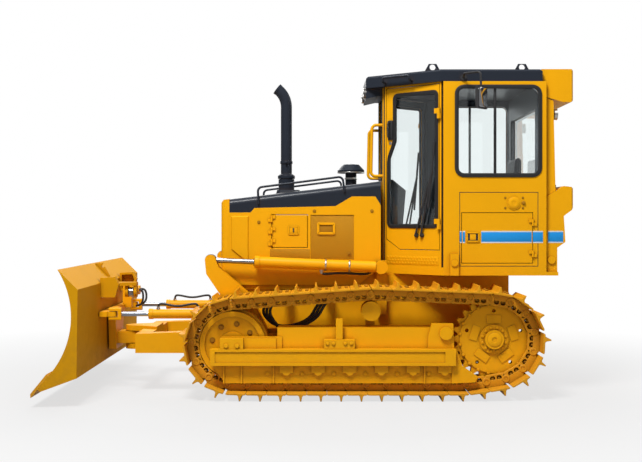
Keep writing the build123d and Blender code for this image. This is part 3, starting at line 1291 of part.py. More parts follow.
def c_frame():
    """The push frame: side beams on the lift pivots, lift arms, cross beam and king-pin lugs."""
    with BuildPart() as frame:
        for outer_y in (BEAM_OUTER, -BEAM_INNER):
            with BuildSketch(side_plane(outer_y)):
                Polygon((LIFT_PIVOT_X, LIFT_PIVOT_Z - 90), (LIFT_PIVOT_X + 300, BEAM_BOTTOM),
                        (NOSE_BEAM_X + 130, BEAM_BOTTOM), (NOSE_BEAM_X + 130, BEAM_TOP),
                        (LIFT_PIVOT_X + 300, BEAM_TOP + 40),
                        (LIFT_PIVOT_X, LIFT_PIVOT_Z + 90), align=None)
                with Locations((LIFT_PIVOT_X, LIFT_PIVOT_Z)):
                    Circle(90)
                    Circle(LIFT_TRUNNION_RADIUS + RUNNING_GAP, mode=Mode.SUBTRACT)
            extrude(amount=BEAM_OUTER - BEAM_INNER)
        with BuildSketch(side_plane(BEAM_INNER)):
            Polygon(*box_points(NOSE_BEAM_X + 130, NOSE_BEAM_X, BEAM_BOTTOM, BEAM_TOP), align=None)
        extrude(amount=2 * BEAM_INNER)
        for low, high in ((SLEEVE_LOW - LUG_DEPTH, SLEEVE_LOW - SWING_GAP),
                          (SLEEVE_HIGH + SWING_GAP, SLEEVE_HIGH + LUG_DEPTH)):
            with BuildSketch(Plane.XY.offset(low)):
                Polygon((NOSE_BEAM_X, 200), (NOSE_BEAM_X, -200), (KING_X, -LUG_RADIUS),
                        (KING_X, LUG_RADIUS), align=None)
                with Locations((KING_X, 0)):
                    Circle(LUG_RADIUS)
            extrude(amount=high - low)
        with BuildSketch(Plane.XY.offset(SLEEVE_LOW - LUG_DEPTH)):
            with Locations((KING_X, 0)):
                Circle(KING_RADIUS)
        extrude(amount=SLEEVE_HIGH - SLEEVE_LOW + 2 * LUG_DEPTH)
        for outer_y in (LIFT_Y + 60, LIFT_Y - 30, 60 - LIFT_Y, -LIFT_Y - 30):
            with BuildSketch(side_plane(outer_y)):
                Polygon((LIFT_EYE_X + ARM_BOSS, LIFT_EYE_Z), (LIFT_EYE_X - ARM_BOSS, LIFT_EYE_Z),
                        (LIFT_EYE_X - 72, LIFT_EYE_Z - 60), (LIFT_PIVOT_X + 352, BEAM_TOP + 330),
                        (LIFT_PIVOT_X + 200, BEAM_TOP),
                        (LIFT_PIVOT_X + 470, BEAM_TOP), (LIFT_PIVOT_X + 622, BEAM_TOP + 330),
                        (LIFT_EYE_X + 36, LIFT_EYE_Z - 120), align=None)
                with Locations((LIFT_EYE_X, LIFT_EYE_Z)):
                    Circle(ARM_BOSS)
            extrude(amount=30)
        for outer_y in (LIFT_Y + 30, 30 - LIFT_Y):
            with BuildSketch(side_plane(outer_y)):
                Polygon((LIFT_EYE_X + 36, LIFT_EYE_Z - 120), (LIFT_EYE_X + 12, LIFT_EYE_Z - 120),
                        (LIFT_PIVOT_X + 596, BEAM_TOP + 330), (LIFT_PIVOT_X + 446, BEAM_TOP),
                        (LIFT_PIVOT_X + 470, BEAM_TOP),
                        (LIFT_PIVOT_X + 622, BEAM_TOP + 330), align=None)
            extrude(amount=60)
        for side in (1, -1):
            for low in (ANGLE_Z - 62, ANGLE_Z + 34):
                with BuildSketch(Plane.XY.offset(low)):
                    with Locations((ANGLE_PIVOT_X - 20, side * ANGLE_PIVOT_Y)):
                        Rectangle(112, 110)
                extrude(amount=28)
            with BuildSketch(Plane.XY.offset(ANGLE_Z - 62)):
                with Locations((ANGLE_PIVOT_X, side * ANGLE_PIVOT_Y)):
                    Circle(ANGLE_PIN_RADIUS)
            extrude(amount=124)
            with BuildSketch(Plane.XY.offset(BEAM_TOP - 20)):
                with Locations((ANGLE_PIVOT_X - 66, side * ANGLE_PIVOT_Y)):
                    Rectangle(20, 110)
            extrude(amount=ANGLE_Z + 62 - BEAM_TOP + 20)
    return frame.part


def angle_barrel():
    """The left angle cylinder's barrel with its rear eye."""
    with BuildPart() as barrel:
        with BuildSketch(Plane.YZ.offset(ANGLE_PIVOT_X + 40)):
            with Locations((ANGLE_PIVOT_Y, ANGLE_Z)):
                Circle(ANGLE_BARREL_RADIUS)
        extrude(amount=ANGLE_BARREL_END - 40)
        with BuildSketch(Plane.XY.offset(ANGLE_Z - 28)):
            with Locations((ANGLE_PIVOT_X, ANGLE_PIVOT_Y)):
                Circle(46)
                Circle(ANGLE_PIN_RADIUS + RUNNING_GAP, mode=Mode.SUBTRACT)
        extrude(amount=56)
        with BuildSketch(Plane.YZ.offset(ANGLE_PIVOT_X + 60)):
            with Locations((ANGLE_PIVOT_Y, ANGLE_Z)):
                Circle(ANGLE_ROD_RADIUS + GAP)
        extrude(amount=ANGLE_BARREL_END - 60, mode=Mode.SUBTRACT)
    return barrel.part


def angle_rod():
    """The left angle cylinder's rod."""
    start, end = ANGLE_PIVOT_X + 295, ANGLE_EYE_X - FORK_BACK - GAP
    with BuildPart() as rod:
        with BuildSketch(Plane.YZ.offset(start)):
            with Locations((ANGLE_EYE_Y, ANGLE_Z)):
                Circle(ANGLE_ROD_RADIUS)
        extrude(amount=end - start)
        chamfer(rod.faces().sort_by(Axis.X)[0].edges(), ROD_CHAMFER)
    return rod.part


def angle_fork():
    """The fork on the left angle cylinder's rod, open over the yoke's tongue."""
    with BuildPart() as fork:
        with BuildSketch(Plane.YZ.offset(ANGLE_EYE_X - FORK_BACK)):
            with Locations((ANGLE_EYE_Y, ANGLE_Z)):
                RectangleRounded(FORK_WIDTH, FORK_TALL, 12)
        extrude(amount=FORK_BACK + 35)
        with BuildSketch(Plane.YZ.offset(ANGLE_EYE_X - FORK_BACK + 30)):
            with Locations((ANGLE_EYE_Y, ANGLE_Z)):
                Rectangle(FORK_WIDTH + 1, FORK_SLOT)
        extrude(amount=FORK_BACK + 6, mode=Mode.SUBTRACT)
    return fork.part


def yoke():
    """The swivel yoke on the king pin: sleeve, post, cross beam with tongues, trunnion and the tilt tower."""
    with BuildPart() as swivel:
        with BuildSketch(Plane.XY.offset(SLEEVE_LOW)):
            Polygon((KING_X, 75), (YOKE_BACK, 110), (YOKE_BACK, -110), (KING_X, -75), align=None)
            with Locations((KING_X, 0)):
                Circle(75)
                Circle(KING_RADIUS + RUNNING_GAP, mode=Mode.SUBTRACT)
        extrude(amount=SLEEVE_HIGH - SLEEVE_LOW)
        with BuildSketch(Plane.YZ.offset(YOKE_BACK)):
            Polygon((-160, 330), (160, 330), (200, 640), (320, ANGLE_Z - 22), (YOKE_HALF, ANGLE_Z - 22),
                    (YOKE_HALF, ANGLE_Z + 22), (-YOKE_HALF, ANGLE_Z + 22), (-YOKE_HALF, ANGLE_Z - 22),
                    (-320, ANGLE_Z - 22), (-200, 640),
                    align=None)
        extrude(amount=YOKE_FRONT - YOKE_BACK)
        for side in (1, -1):
            with BuildSketch(Plane.XY.offset(ANGLE_Z - 22)):
                with Locations((ANGLE_EYE_X, side * ANGLE_EYE_Y)):
                    Circle(34)
                with Locations(((ANGLE_EYE_X + YOKE_BACK) / 2, side * ANGLE_EYE_Y)):
                    Rectangle(YOKE_BACK - ANGLE_EYE_X, 68)
            extrude(amount=44)
        with BuildSketch(Plane.YZ.offset(YOKE_FRONT)):
            with Locations((0, TRUNNION_Z)):
                Circle(TRUNNION_RADIUS)
        extrude(amount=80)
        with BuildSketch(Plane.YZ.offset(TILT_X + 46)):
            Polygon((TILT_PIVOT_Y - 45, 680), (TILT_PIVOT_Y + 45, 680), (TILT_PIVOT_Y + 36, TILT_Z + 40),
                    (TILT_PIVOT_Y - 36, TILT_Z + 40), align=None)
        extrude(amount=YOKE_BACK + 20 - TILT_X - 46)
        with BuildSketch(Plane.YZ.offset(TILT_X - 40)):
            with Locations((TILT_PIVOT_Y, TILT_Z)):
                Circle(TILT_PIN_RADIUS)
        extrude(amount=90)
    return swivel.part


def tilt_barrel():
    """The tilt cylinder's barrel, across the machine above the yoke."""
    with BuildPart() as barrel:
        with BuildSketch(side_plane(TILT_PIVOT_Y + 170)):
            with Locations((TILT_X, TILT_Z)):
                Circle(TILT_BARREL_RADIUS)
        extrude(amount=140)
        with BuildSketch(Plane.YZ.offset(TILT_X - 30)):
            with Locations((TILT_PIVOT_Y, TILT_Z)):
                Circle(44)
        extrude(amount=60)
        with BuildSketch(Plane.YZ.offset(TILT_X - 31)):
            with Locations((TILT_PIVOT_Y, TILT_Z)):
                Circle(TILT_PIN_RADIUS + RUNNING_GAP)
        extrude(amount=62, mode=Mode.SUBTRACT)
        with BuildSketch(side_plane(TILT_PIVOT_Y + 170)):
            with Locations((TILT_X, TILT_Z)):
                Circle(TILT_ROD_RADIUS + GAP)
        extrude(amount=128, mode=Mode.SUBTRACT)
    return barrel.part


def tilt_rod():
    """The tilt cylinder's rod and eye."""
    with BuildPart() as rod:
        with BuildSketch(side_plane(-30)):
            with Locations((TILT_X, TILT_Z)):
                Circle(TILT_ROD_RADIUS)
        extrude(amount=165)
        with BuildSketch(Plane.YZ.offset(TILT_X - 20)):
            with Locations((0, TILT_Z)):
                Circle(44)
        extrude(amount=40)
    return rod.part


def blade():
    """The blade: its curved front, boxed back, trunnion boss, tilt lug and upper guards."""
    with BuildPart() as moldboard:
        with BuildSketch(side_plane(BLADE_WIDTH / 2)):
            with BuildLine():
                curve = ThreePointArc((BLADE_TOP_X, BLADE_TOP_Z), (BLADE_CURVE_X, BLADE_CURVE_Z),
                                      (EDGE_X, EDGE_Z))
                Polyline(curve @ 1, edge_point(EDGE_SEAT, 0), edge_point(EDGE_SEAT, -30),
                         (BLADE_BACK_X + 10, EDGE_Z - 20),
                         (BLADE_BACK_X, BLADE_BACK_Z), curve @ 0)
            make_face()
        extrude(amount=BLADE_WIDTH)
        with BuildSketch(Plane.YZ.offset(BLADE_BACK_X - 10)):
            with Locations((0, TRUNNION_Z)):
                Circle(TRUNNION_RADIUS + RUNNING_GAP)
        extrude(amount=90, mode=Mode.SUBTRACT)
        for low_x in (TILT_X - 55, TILT_X + 26):
            with BuildSketch(Plane.YZ.offset(low_x)):
                with Locations((0, TILT_Z)):
                    Circle(48)
            extrude(amount=29)
        with BuildSketch(Plane.XY.offset(TILT_Z + 62)):
            Polygon((TILT_X - 55, 45), (TILT_X - 55, -45), (BLADE_BACK_X + 5, -90), (BLADE_BACK_X + 5, 90),
                    align=None)
        extrude(amount=30)
        for low_x in (TILT_X - 55, TILT_X + 26):
            with BuildSketch(Plane.YZ.offset(low_x)):
                with Locations((0, TILT_Z + 45)):
                    Rectangle(80, 70)
            extrude(amount=29)
        with BuildSketch(side_plane(LIFT_PLATE / 2)):
            Polygon((BLADE_TOP_X - 6, BLADE_TOP_Z - 6), (BLADE_TOP_X - 80, BLADE_TOP_Z - 2),
                    (BLADE_BACK_X - 6, BLADE_BACK_Z + 6),
                    (BLADE_BACK_X + 20, BLADE_BACK_Z + 12), align=None)
            with Locations((BLADE_TOP_X - 84, BLADE_TOP_Z - 30)):
                Circle(LIFT_HOLE, mode=Mode.SUBTRACT)
        extrude(amount=LIFT_PLATE)
        horn = [(BLADE_BACK_X + 5, HORN_TOP - 9), (BLADE_BACK_X - 126, HORN_TOP),
                (BLADE_BACK_X - 159, HORN_TOP - 69),
                (BLADE_BACK_X - 126, HORN_BOTTOM), (BLADE_BACK_X + 5, HORN_BOTTOM)]
        hollow = [(BLADE_BACK_X - 14, HORN_TOP - 28), (BLADE_BACK_X - 118, HORN_TOP - 21),
                  (BLADE_BACK_X - 137, HORN_TOP - 69),
                  (BLADE_BACK_X - 114, HORN_BOTTOM + 18), (BLADE_BACK_X - 14, HORN_BOTTOM + 18)]
        for side in (1, -1):
            with BuildSketch(side_plane(side * HORN_OUTER)):
                Polygon(*horn, align=None)
            extrude(amount=side * HORN_WIDTH)
            with BuildSketch(side_plane(side * (HORN_OUTER - 18))):
                Polygon(*hollow, align=None)
            extrude(amount=side * HORN_WIDTH, mode=Mode.SUBTRACT)
    return moldboard.part


def edge_point(down, out):
    """A point in X and Z, this far down along the cutting edge's seat and out from it."""
    return (EDGE_X + down * EDGE_DOWN[0] + out * EDGE_OUT[0],
            EDGE_Z + down * EDGE_DOWN[1] + out * EDGE_OUT[1])


def cutting_edge():
    """The cutting edge bolted along the blade's lower front."""
    return plate([edge_point(0, GAP), edge_point(0, GAP + EDGE_PLATE),
                  edge_point(EDGE_LENGTH - EDGE_BEVEL, GAP + EDGE_PLATE),
                  edge_point(EDGE_LENGTH, GAP)], BLADE_WIDTH / 2, BLADE_WIDTH)


def main():
    """Builds every piece and writes it."""
    os.makedirs("parts", exist_ok=True)
    write_pair(track(), "track")
    write_pair(sprocket(), "sprocket")
    write_pair(idler(), "idler")
    write_pair(rollers(), "rollers")
    write_pair(track_frame(), "track_frame")
    write(main_frame(), "main_frame")
    write(engine_block(), "engine_block")
    write(hood_top(), "hood_top")
    write(nose(), "nose")
    write_pair(hood_side(), "hood_side")
    write_pair(engine_door(), "engine_door")
    write(exhaust_stack(), "exhaust_stack")
    write(precleaner(), "precleaner")
    write(cab_floor(), "cab_floor")
    write_pair(cab_side(), "cab_side")
    write_pair(side_hatch(), "side_hatch")
    write(cab_front(), "cab_front")
    write(cab_glass(), "cab_glass")
    write(cab_rear(), "cab_rear")
    write_pair(cab_door(), "cab_door")
    write_pair(door_glass(), "door_glass")
    write(cab_roof(), "cab_roof")
    write(roof_unit(), "roof_unit")
    write(fuel_tank(), "fuel_tank")
    write(rear_posts(), "rear_posts")
    write(lifting_eyes(), "lifting_eyes")
    write(seat(), "seat")
    write(dash(), "dash")
    write(hood_rails(), "hood_rails")
    write(grab_rails(), "grab_rails")
    write(mirrors(), "mirrors")
    write(drawbar(), "drawbar")
    write_pair(lift_barrel(), "lift_barrel")
    write_pair(lift_rod(), "lift_rod")
    write(c_frame(), "c_frame")
    write_pair(angle_barrel(), "angle_barrel")
    write_pair(angle_rod(), "angle_rod")
    write_pair(angle_fork(), "angle_fork")
    write(yoke(), "yoke")
    write(tilt_barrel(), "tilt_barrel")
    write(tilt_rod(), "tilt_rod")
    write(blade(), "blade")
    write(cutting_edge(), "cutting_edge")


main()
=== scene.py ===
"""The looks of the bulldozer: finishes for its CAD pieces, the trim modelled on them, and the studio."""

from __future__ import annotations

import json
import logging
import math
from collections.abc import Iterable, Sequence
from dataclasses import dataclass
from enum import Enum

import bpy
from mathutils import Matrix, Vector

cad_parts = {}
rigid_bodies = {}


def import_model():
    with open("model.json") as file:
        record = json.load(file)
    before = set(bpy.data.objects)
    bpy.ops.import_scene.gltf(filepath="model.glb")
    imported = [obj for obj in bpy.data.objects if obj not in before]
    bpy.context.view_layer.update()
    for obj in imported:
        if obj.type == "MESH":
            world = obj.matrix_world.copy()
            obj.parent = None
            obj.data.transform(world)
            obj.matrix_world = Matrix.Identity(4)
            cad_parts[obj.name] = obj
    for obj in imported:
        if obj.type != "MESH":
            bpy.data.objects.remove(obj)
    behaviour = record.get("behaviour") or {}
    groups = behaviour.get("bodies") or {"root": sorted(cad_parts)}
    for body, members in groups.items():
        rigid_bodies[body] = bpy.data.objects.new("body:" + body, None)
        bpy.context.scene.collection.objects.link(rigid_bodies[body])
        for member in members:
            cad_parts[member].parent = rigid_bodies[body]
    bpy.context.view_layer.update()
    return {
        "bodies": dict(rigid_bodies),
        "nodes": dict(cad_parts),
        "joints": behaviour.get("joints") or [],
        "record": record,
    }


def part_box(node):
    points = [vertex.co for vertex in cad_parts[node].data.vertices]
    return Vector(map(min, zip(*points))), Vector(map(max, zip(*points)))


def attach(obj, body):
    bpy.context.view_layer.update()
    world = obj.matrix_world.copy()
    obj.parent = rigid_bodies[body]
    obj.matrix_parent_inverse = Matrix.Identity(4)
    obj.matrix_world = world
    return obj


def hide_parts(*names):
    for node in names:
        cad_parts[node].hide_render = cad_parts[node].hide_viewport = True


LOG = logging.getLogger("bulldozer")
Point = Sequence[float]
Colour = tuple[float, float, float]
Steps = Sequence[tuple[float, float]]
Piece = bpy.types.Object
Node = bpy.types.Node
Socket = bpy.types.NodeSocket
Sockets = bpy.types.bpy_prop_collection
Bounds = tuple[float, float, float, float]
WHITE = (1.0, 1.0, 1.0, 1.0)
UP = Vector((0.0, 0.0, 1.0))
ORIGIN = Vector((0.0, 0.0, 0.0))
ROUND = 60.0  # the angle that is shaded smooth on hoses and cushions, in degrees
BITE = 0.001  # how far trim is sunk into the face that carries it


class Side(Enum):
    """The machine's two sides, by the sign of Y."""

    LEFT = 1.0
    RIGHT = -1.0

    @property
    def word(self) -> str:
        """The side's name in node and body names."""
        return self.name.lower()

    @property
    def out(self) -> Vector:
        """The way out of the machine on this side."""
        return Vector((0.0, self.value, 0.0))

    @property
    def flip(self) -> Vector:
        """Factors that put a point of the left side on this one."""
        return Vector((1.0, self.value, 1.0))


class Tree:
    """Short calls for building one shader tree."""

    def __init__(self, tree: bpy.types.NodeTree) -> None:
        """Keep the tree that nodes go into.

        Args:
            tree: the node tree of a material, a world or a group.
        """
        self.tree = tree

    def feed(self, socket: Socket, value: object) -> None:
        """Link an output to an input, or set the input's own value.

        Args:
            socket: the input.
            value: an output socket, or a value.
        """
        if isinstance(value, Socket):
            self.tree.links.new(value, socket)
        else:
            socket.default_value = value

    def fill(self, node: Node, **inputs: object) -> None:
        """Fill or link a node's inputs.

        Args:
            node: the node.
            inputs: socket names, with _ for a space, and a value or an output socket for each.
        """
        for name, value in inputs.items():
            self.feed(node.inputs[name.replace("_", " ")], value)

    def add(self, kind: str, settings: dict[str, object] | None = None, **inputs: object) -> Node:
        """Add a node, set its options and fill its inputs.

        Args:
            kind: the node's type name.
            settings: options of the node itself.
            inputs: its inputs, as for fill.

        Returns:
            The new node.
        """
        node = self.tree.nodes.new(kind)
        for option, value in (settings or {}).items():
            setattr(node, option, value)
        self.fill(node, **inputs)
        return node

    def use(self, group: bpy.types.NodeTree, **inputs: object) -> Sockets:
        """Place a shader group.

        Args:
            group: the group.
            inputs: its inputs, as for fill.

        Returns:
            The outputs of the group's node.
        """
        return self.add("ShaderNodeGroup", {"node_tree": group}, **inputs).outputs

    def math(self, operation: str, first: object, second: object = 0.0, clamp: bool = False) -> Socket:
        """Add a Math node.

        Args:
            operation: the node's operation.
            first: a number or an output socket.
            second: a number or an output socket.
            clamp: whether the result is held from 0 to 1.

        Returns:
            The result's socket.
        """
        node = self.add("ShaderNodeMath", {"operation": operation, "use_clamp": clamp})
        for socket, value in zip(node.inputs, (first, second)):
            self.feed(socket, value)
        return node.outputs[0]

    def blend(self, share: object, first: object, second: object) -> Socket:
        """Mix two colours.

        Args:
            share: how much of the second, a number or a socket.
            first: a colour or a socket.
            second: a colour or a socket.

        Returns:
            The mixed colour's socket.
        """
        node = self.add("ShaderNodeMix", {"data_type": "RGBA"})
        for index, value in ((0, share), (6, first), (7, second)):
            self.feed(node.inputs[index], value)
        return node.outputs[2]

    def cover(self, share: object, under: Socket, over: Socket) -> None:
        """Show a mix of two shaders as the material's surface.

        Args:
            share: how much of the shader on top, a number or a socket.
            under: the shader below.
            over: the shader on top.
        """
        mix = self.add("ShaderNodeMixShader", Fac=share)
        self.feed(mix.inputs[1], under)
        self.feed(mix.inputs[2], over)
        out = next(node for node in self.tree.nodes if node.bl_idname == "ShaderNodeOutputMaterial")
        self.fill(out, Surface=mix.outputs["Shader"])


class Effects:
    """The shader groups that more than one finish uses."""

    def __init__(self) -> None:
        """Build each group once."""
        self.skin = self._skin()
        self.dust = self._dust()
        self.rubbed = self._rubbed()
        self.inside = self._inside()
        self.grime = self._grime()

    @staticmethod
    def _group(name: str, inputs: dict[str, object], outputs: Sequence[str]) -> tuple[Tree, Sockets]:
        """Make an empty group with named sockets.

        Args:
            name: the group's name.
            inputs: each input's first value: a colour, a number, or None for a vector.
            outputs: the outputs' names; those called Color are colours, the others numbers.

        Returns:
            The group's tree, and the sockets that its inputs arrive at.
        """
        tree = bpy.data.node_groups.new(name, "ShaderNodeTree")
        for label, value in inputs.items():
            kind = {type(None): "Vector", tuple: "Color"}.get(type(value), "Float")
            socket = tree.interface.new_socket(label, in_out="INPUT", socket_type=f"NodeSocket{kind}")
            if value is not None:
                socket.default_value = value
        for label in outputs:
            kind = "Color" if label == "Color" else "Float"
            tree.interface.new_socket(label, in_out="OUTPUT", socket_type=f"NodeSocket{kind}")
        build = Tree(tree)
        return build, build.add("NodeGroupInput").outputs

    def _skin(self) -> bpy.types.NodeTree:
        """A skin's slow drift in tone and its fine uneven relief."""
        inputs = {"Vector": None, "Color": (0.8, 0.8, 0.8, 1.0), "Drift": 0.1, "Grain": 300.0}
        build, given = self._group("skin", inputs, ("Color", "Height"))
        slow = build.add("ShaderNodeTexNoise", Vector=given["Vector"], Scale=2.2, Detail=4.0)
        fine = build.add("ShaderNodeTexNoise", Vector=given["Vector"], Scale=given["Grain"], Detail=2.0)
        swing = build.math("SUBTRACT", slow.outputs["Fac"], 0.5)
        value = build.math("ADD", build.math("MULTIPLY", swing, given["Drift"]), 1.0)
        toned = build.add("ShaderNodeHueSaturation", Value=value, Color=given["Color"])
        build.add("NodeGroupOutput", Color=toned.outputs["Color"], Height=fine.outputs["Fac"])
        return build.tree

    def _dust(self) -> bpy.types.NodeTree:
        """A dusty brown tint that thickens towards the floor and lies in patches, with a rougher gloss:
        settled dirt, and painted shade low down.
        """
        inputs = {
            "Vector": None, "Color": (0.8, 0.8, 0.8, 1.0), "Dust": (0.26, 0.13, 0.03, 1.0), "Reach": 0.9,
            "Amount": 0.2, "Roughness": 0.35,
        }
        build, given = self._group("ground_dust", inputs, ("Color", "Roughness"))
        place = build.add("ShaderNodeSeparateXYZ", Vector=given["Vector"])
        height = build.math("DIVIDE", place.outputs["Z"], given["Reach"])
        low = build.math("SUBTRACT", 1.0, height, clamp=True)
        patches = build.add(
            "ShaderNodeTexNoise", Vector=given["Vector"], Scale=9.0, Detail=6.0, Roughness=0.65
        ).outputs["Fac"]
        patch = build.add("ShaderNodeMapRange", Value=patches, From_Min=0.38, From_Max=0.68, To_Min=0.15)
        lying = build.math("MULTIPLY", low, patch.outputs["Result"])
        mask = build.math("MULTIPLY", lying, given["Amount"], clamp=True)
        colour = build.blend(mask, given["Color"], given["Dust"])
        rough = build.math("ADD", given["Roughness"], build.math("MULTIPLY", mask, 0.5), clamp=True)
        build.add("NodeGroupOutput", Color=colour, Roughness=rough)
        return build.tree

    def _rubbed(self) -> bpy.types.NodeTree:
        """Small rubbed spots and fine scratches, as a mask."""
        build, given = self._group("rubbed_spots", {"Vector": None, "Amount": 0.3, "Scale": 26.0}, ("Mask",))
        spots = build.add(
            "ShaderNodeTexNoise", Vector=given["Vector"], Scale=given["Scale"], Detail=8.0, Roughness=0.72
        )
        cut = build.add("ShaderNodeMapRange", Value=spots.outputs["Fac"], From_Min=0.66, From_Max=0.72)
        mask = build.math("MULTIPLY", cut.outputs["Result"], given["Amount"], clamp=True)
        build.add("NodeGroupOutput", Mask=mask)
        return build.tree

    def _grime(self) -> bpy.types.NodeTree:
        """Painted shade: a brown darkening in corners and behind raised edges, where ambient occlusion finds
        the surface closed in.
        """
        inputs = {
            "Color": (0.8, 0.8, 0.8, 1.0), "Grime": (0.17, 0.07, 0.004, 1.0), "Amount": 0.6, "Reach": 0.05,
        }
        build, given = self._group("corner_grime", inputs, ("Color",))
        free = build.add("ShaderNodeAmbientOcclusion", {"samples": 6}, Distance=given["Reach"]).outputs["AO"]
        closed = build.add(
            "ShaderNodeMapRange", Value=free, From_Min=0.30, From_Max=0.92, To_Min=1.0, To_Max=0.0
        )
        mask = build.math("MULTIPLY", closed.outputs["Result"], given["Amount"], clamp=True)
        build.add("NodeGroupOutput", Color=build.blend(mask, given["Color"], given["Grime"]))
        return build.tree

    def _inside(self) -> bpy.types.NodeTree:
        """The inner faces of the cab's walls and doors, as a mask for their dark trim colour, which is partly
        painted shade.
        """
        build, given = self._group("cab_inside", {"Vector": None}, ("Mask",))
        place = build.add("ShaderNodeSeparateXYZ", Vector=given["Vector"]).outputs
        across = build.math("ABSOLUTE", place["Y"])
        ahead = build.math("MULTIPLY", build.math("ADD", place["X"], 0.640), 0.670)
        aside = build.math("MULTIPLY", build.math("SUBTRACT", across, 0.350), 0.742)
        mask = build.math("LESS_THAN", build.math("ADD", ahead, aside), -0.012)
        for test, value, limit in (
            ("LESS_THAN", across, 0.788), ("GREATER_THAN", place["X"], -2.016),
            ("LESS_THAN", place["X"], -0.652), ("GREATER_THAN", place["Z"], 1.104),
        ):
            mask = build.math("MULTIPLY", mask, build.math(test, value, limit))
        build.add("NodeGroupOutput", Mask=mask)
        return build.tree


def blank(name: str) -> tuple[bpy.types.Material, Tree, Node, Socket]:
    """Make a node material with a bare Principled shader.

    Args:
        name: the material's name.

    Returns:
        The material, its tree, its shader node and the place on the surface.
    """
    material = bpy.data.materials.new(name)
    material.use_nodes = True
    material.node_tree.nodes.clear()
    tree = Tree(material.node_tree)
    shader = tree.add("ShaderNodeBsdfPrincipled")
    tree.add("ShaderNodeOutputMaterial", Surface=shader.outputs["BSDF"])
    return material, tree, shader, tree.add("ShaderNodeTexCoord").outputs["Object"]


@dataclass(frozen=True)
class Finish:
    """A material by its name, its main colour and the record's material slot that it belongs to."""

    name: str
    colour: Colour
    slot: str = "yellow_paint"

    def make(self, effects: Effects) -> bpy.types.Material:
        """Build the material.

        Args:
            effects: the shared shader groups.

        Returns:
            The finished material.
        """
        material, tree, shader, place = blank(self.name)
        self._wire(tree, shader, place, effects)
        LOG.info("finish %s belongs to %s", self.name, self.slot)
        return material

    def _wire(self, tree: Tree, shader: Node, place: Socket, effects: Effects) -> None:
        """Add the finish's own nodes and feed the shader.

        Args:
            tree: the material's tree.
            shader: its shader.
            place: the place on the surface.
            effects: the shared shader groups.
        """
        raise NotImplementedError

    def _skin(self, tree: Tree, place: Socket, effects: Effects, drift: float, grain: float) -> Sockets:
        """Place the skin group with the finish's colour.

        Args:
            tree: the material's tree.
            place: the place on the surface.
            effects: the shared shader groups.
            drift: how far the tone drifts.
            grain: the scale of the fine relief.

        Returns:
            The skin's colour and height.
        """
        return tree.use(effects.skin, Vector=place, Color=(*self.colour, 1.0), Drift=drift, Grain=grain)


@dataclass(frozen=True)
class PaintFinish(Finish):
    """Sprayed paint with a few rubbed spots, a dusty tint low down that is partly painted shade, and painted
    shade in its corners.
    """

    roughness: float = 0.42
    coat: float = 0.0
    drift: float = 0.10
    grain: float = 420.0
    # how thick the dusty tint low down is, partly painted shade
    dust: float = 0.16
    reach: float = 0.75
    rubbed: float = 0.12
    under: Colour = (0.30, 0.28, 0.26)
    # the cab's dark inner trim colour, partly painted shade of its inside and recesses
    lining: Colour | None = None
    # how strongly painted shade darkens the paint's corners
    grime: float = 0.6
    gloss: float = 0.14

    def _wire(self, tree: Tree, shader: Node, place: Socket, effects: Effects) -> None:
        """Add the paint's nodes, and the cab's dark inner trim where it has one, which is partly painted
        shade.
        """
        skin = self._skin(tree, place, effects, self.drift, self.grain)
        spots = tree.use(effects.rubbed, Vector=place, Amount=self.rubbed)
        worn = tree.blend(spots["Mask"], skin["Color"], (*self.under, 1.0))
        # dusty tint low down, darker towards the floor: partly painted shade
        dust = tree.use(
            effects.dust, Vector=place, Color=worn, Reach=self.reach, Amount=self.dust,
            Roughness=self.roughness,
        )
        bump = tree.add("ShaderNodeBump", Strength=0.06, Distance=0.002, Height=skin["Height"])
        # painted shade in corners and behind raised edges, from ambient occlusion
        colour = tree.use(effects.grime, Color=dust["Color"], Amount=self.grime)["Color"]
        # dark inner trim inside the cab and its recesses: partly painted shade
        if self.lining is not None:
            inside = tree.use(effects.inside, Vector=place)
            colour = tree.blend(inside["Mask"], colour, (*self.lining, 1.0))
        tree.fill(
            shader, Base_Color=colour, Roughness=dust["Roughness"], Normal=bump.outputs["Normal"],
            Specular_IOR_Level=self.gloss, Coat_Weight=self.coat, Coat_Roughness=0.12,
        )


@dataclass(frozen=True)
class ScreenFinish(Finish):
    """Painted sheet with rows of round holes, drawn in a dark brown that is painted shade of the space behind
    them.
    """

    # the colour of the holes: painted shade of the space behind the sheet
    hole: Colour = (0.10, 0.05, 0.008)
    pitch: float = 0.009
    hole_share: float = 0.34
    hole_rim: float = 0.05

    def _wire(self, tree: Tree, shader: Node, place: Socket, effects: Effects) -> None:
        """Add the sheet's nodes."""
        skin = self._skin(tree, place, effects, 0.10, 420.0)
        spread = tree.add("ShaderNodeSeparateXYZ", Vector=place)
        away = []
        for axis in ("X", "Z"):
            cell = tree.math("FRACT", tree.math("DIVIDE", spread.outputs[axis], self.pitch))
            away.append(tree.math("POWER", tree.math("ABSOLUTE", tree.math("SUBTRACT", cell, 0.5)), 2.0))
        reach = tree.math("SQRT", tree.math("ADD", *away))
        low, high = self.hole_share - self.hole_rim, self.hole_share + self.hole_rim
        solid = tree.add("ShaderNodeMapRange", Value=reach, From_Min=low, From_Max=high).outputs["Result"]
        bump = tree.add("ShaderNodeBump", Strength=0.5, Distance=0.001, Height=solid)
        tree.fill(
            shader, Base_Color=tree.blend(solid, (*self.hole, 1.0), skin["Color"]), Roughness=0.5,
            Normal=bump.outputs["Normal"], Specular_IOR_Level=0.22,
        )


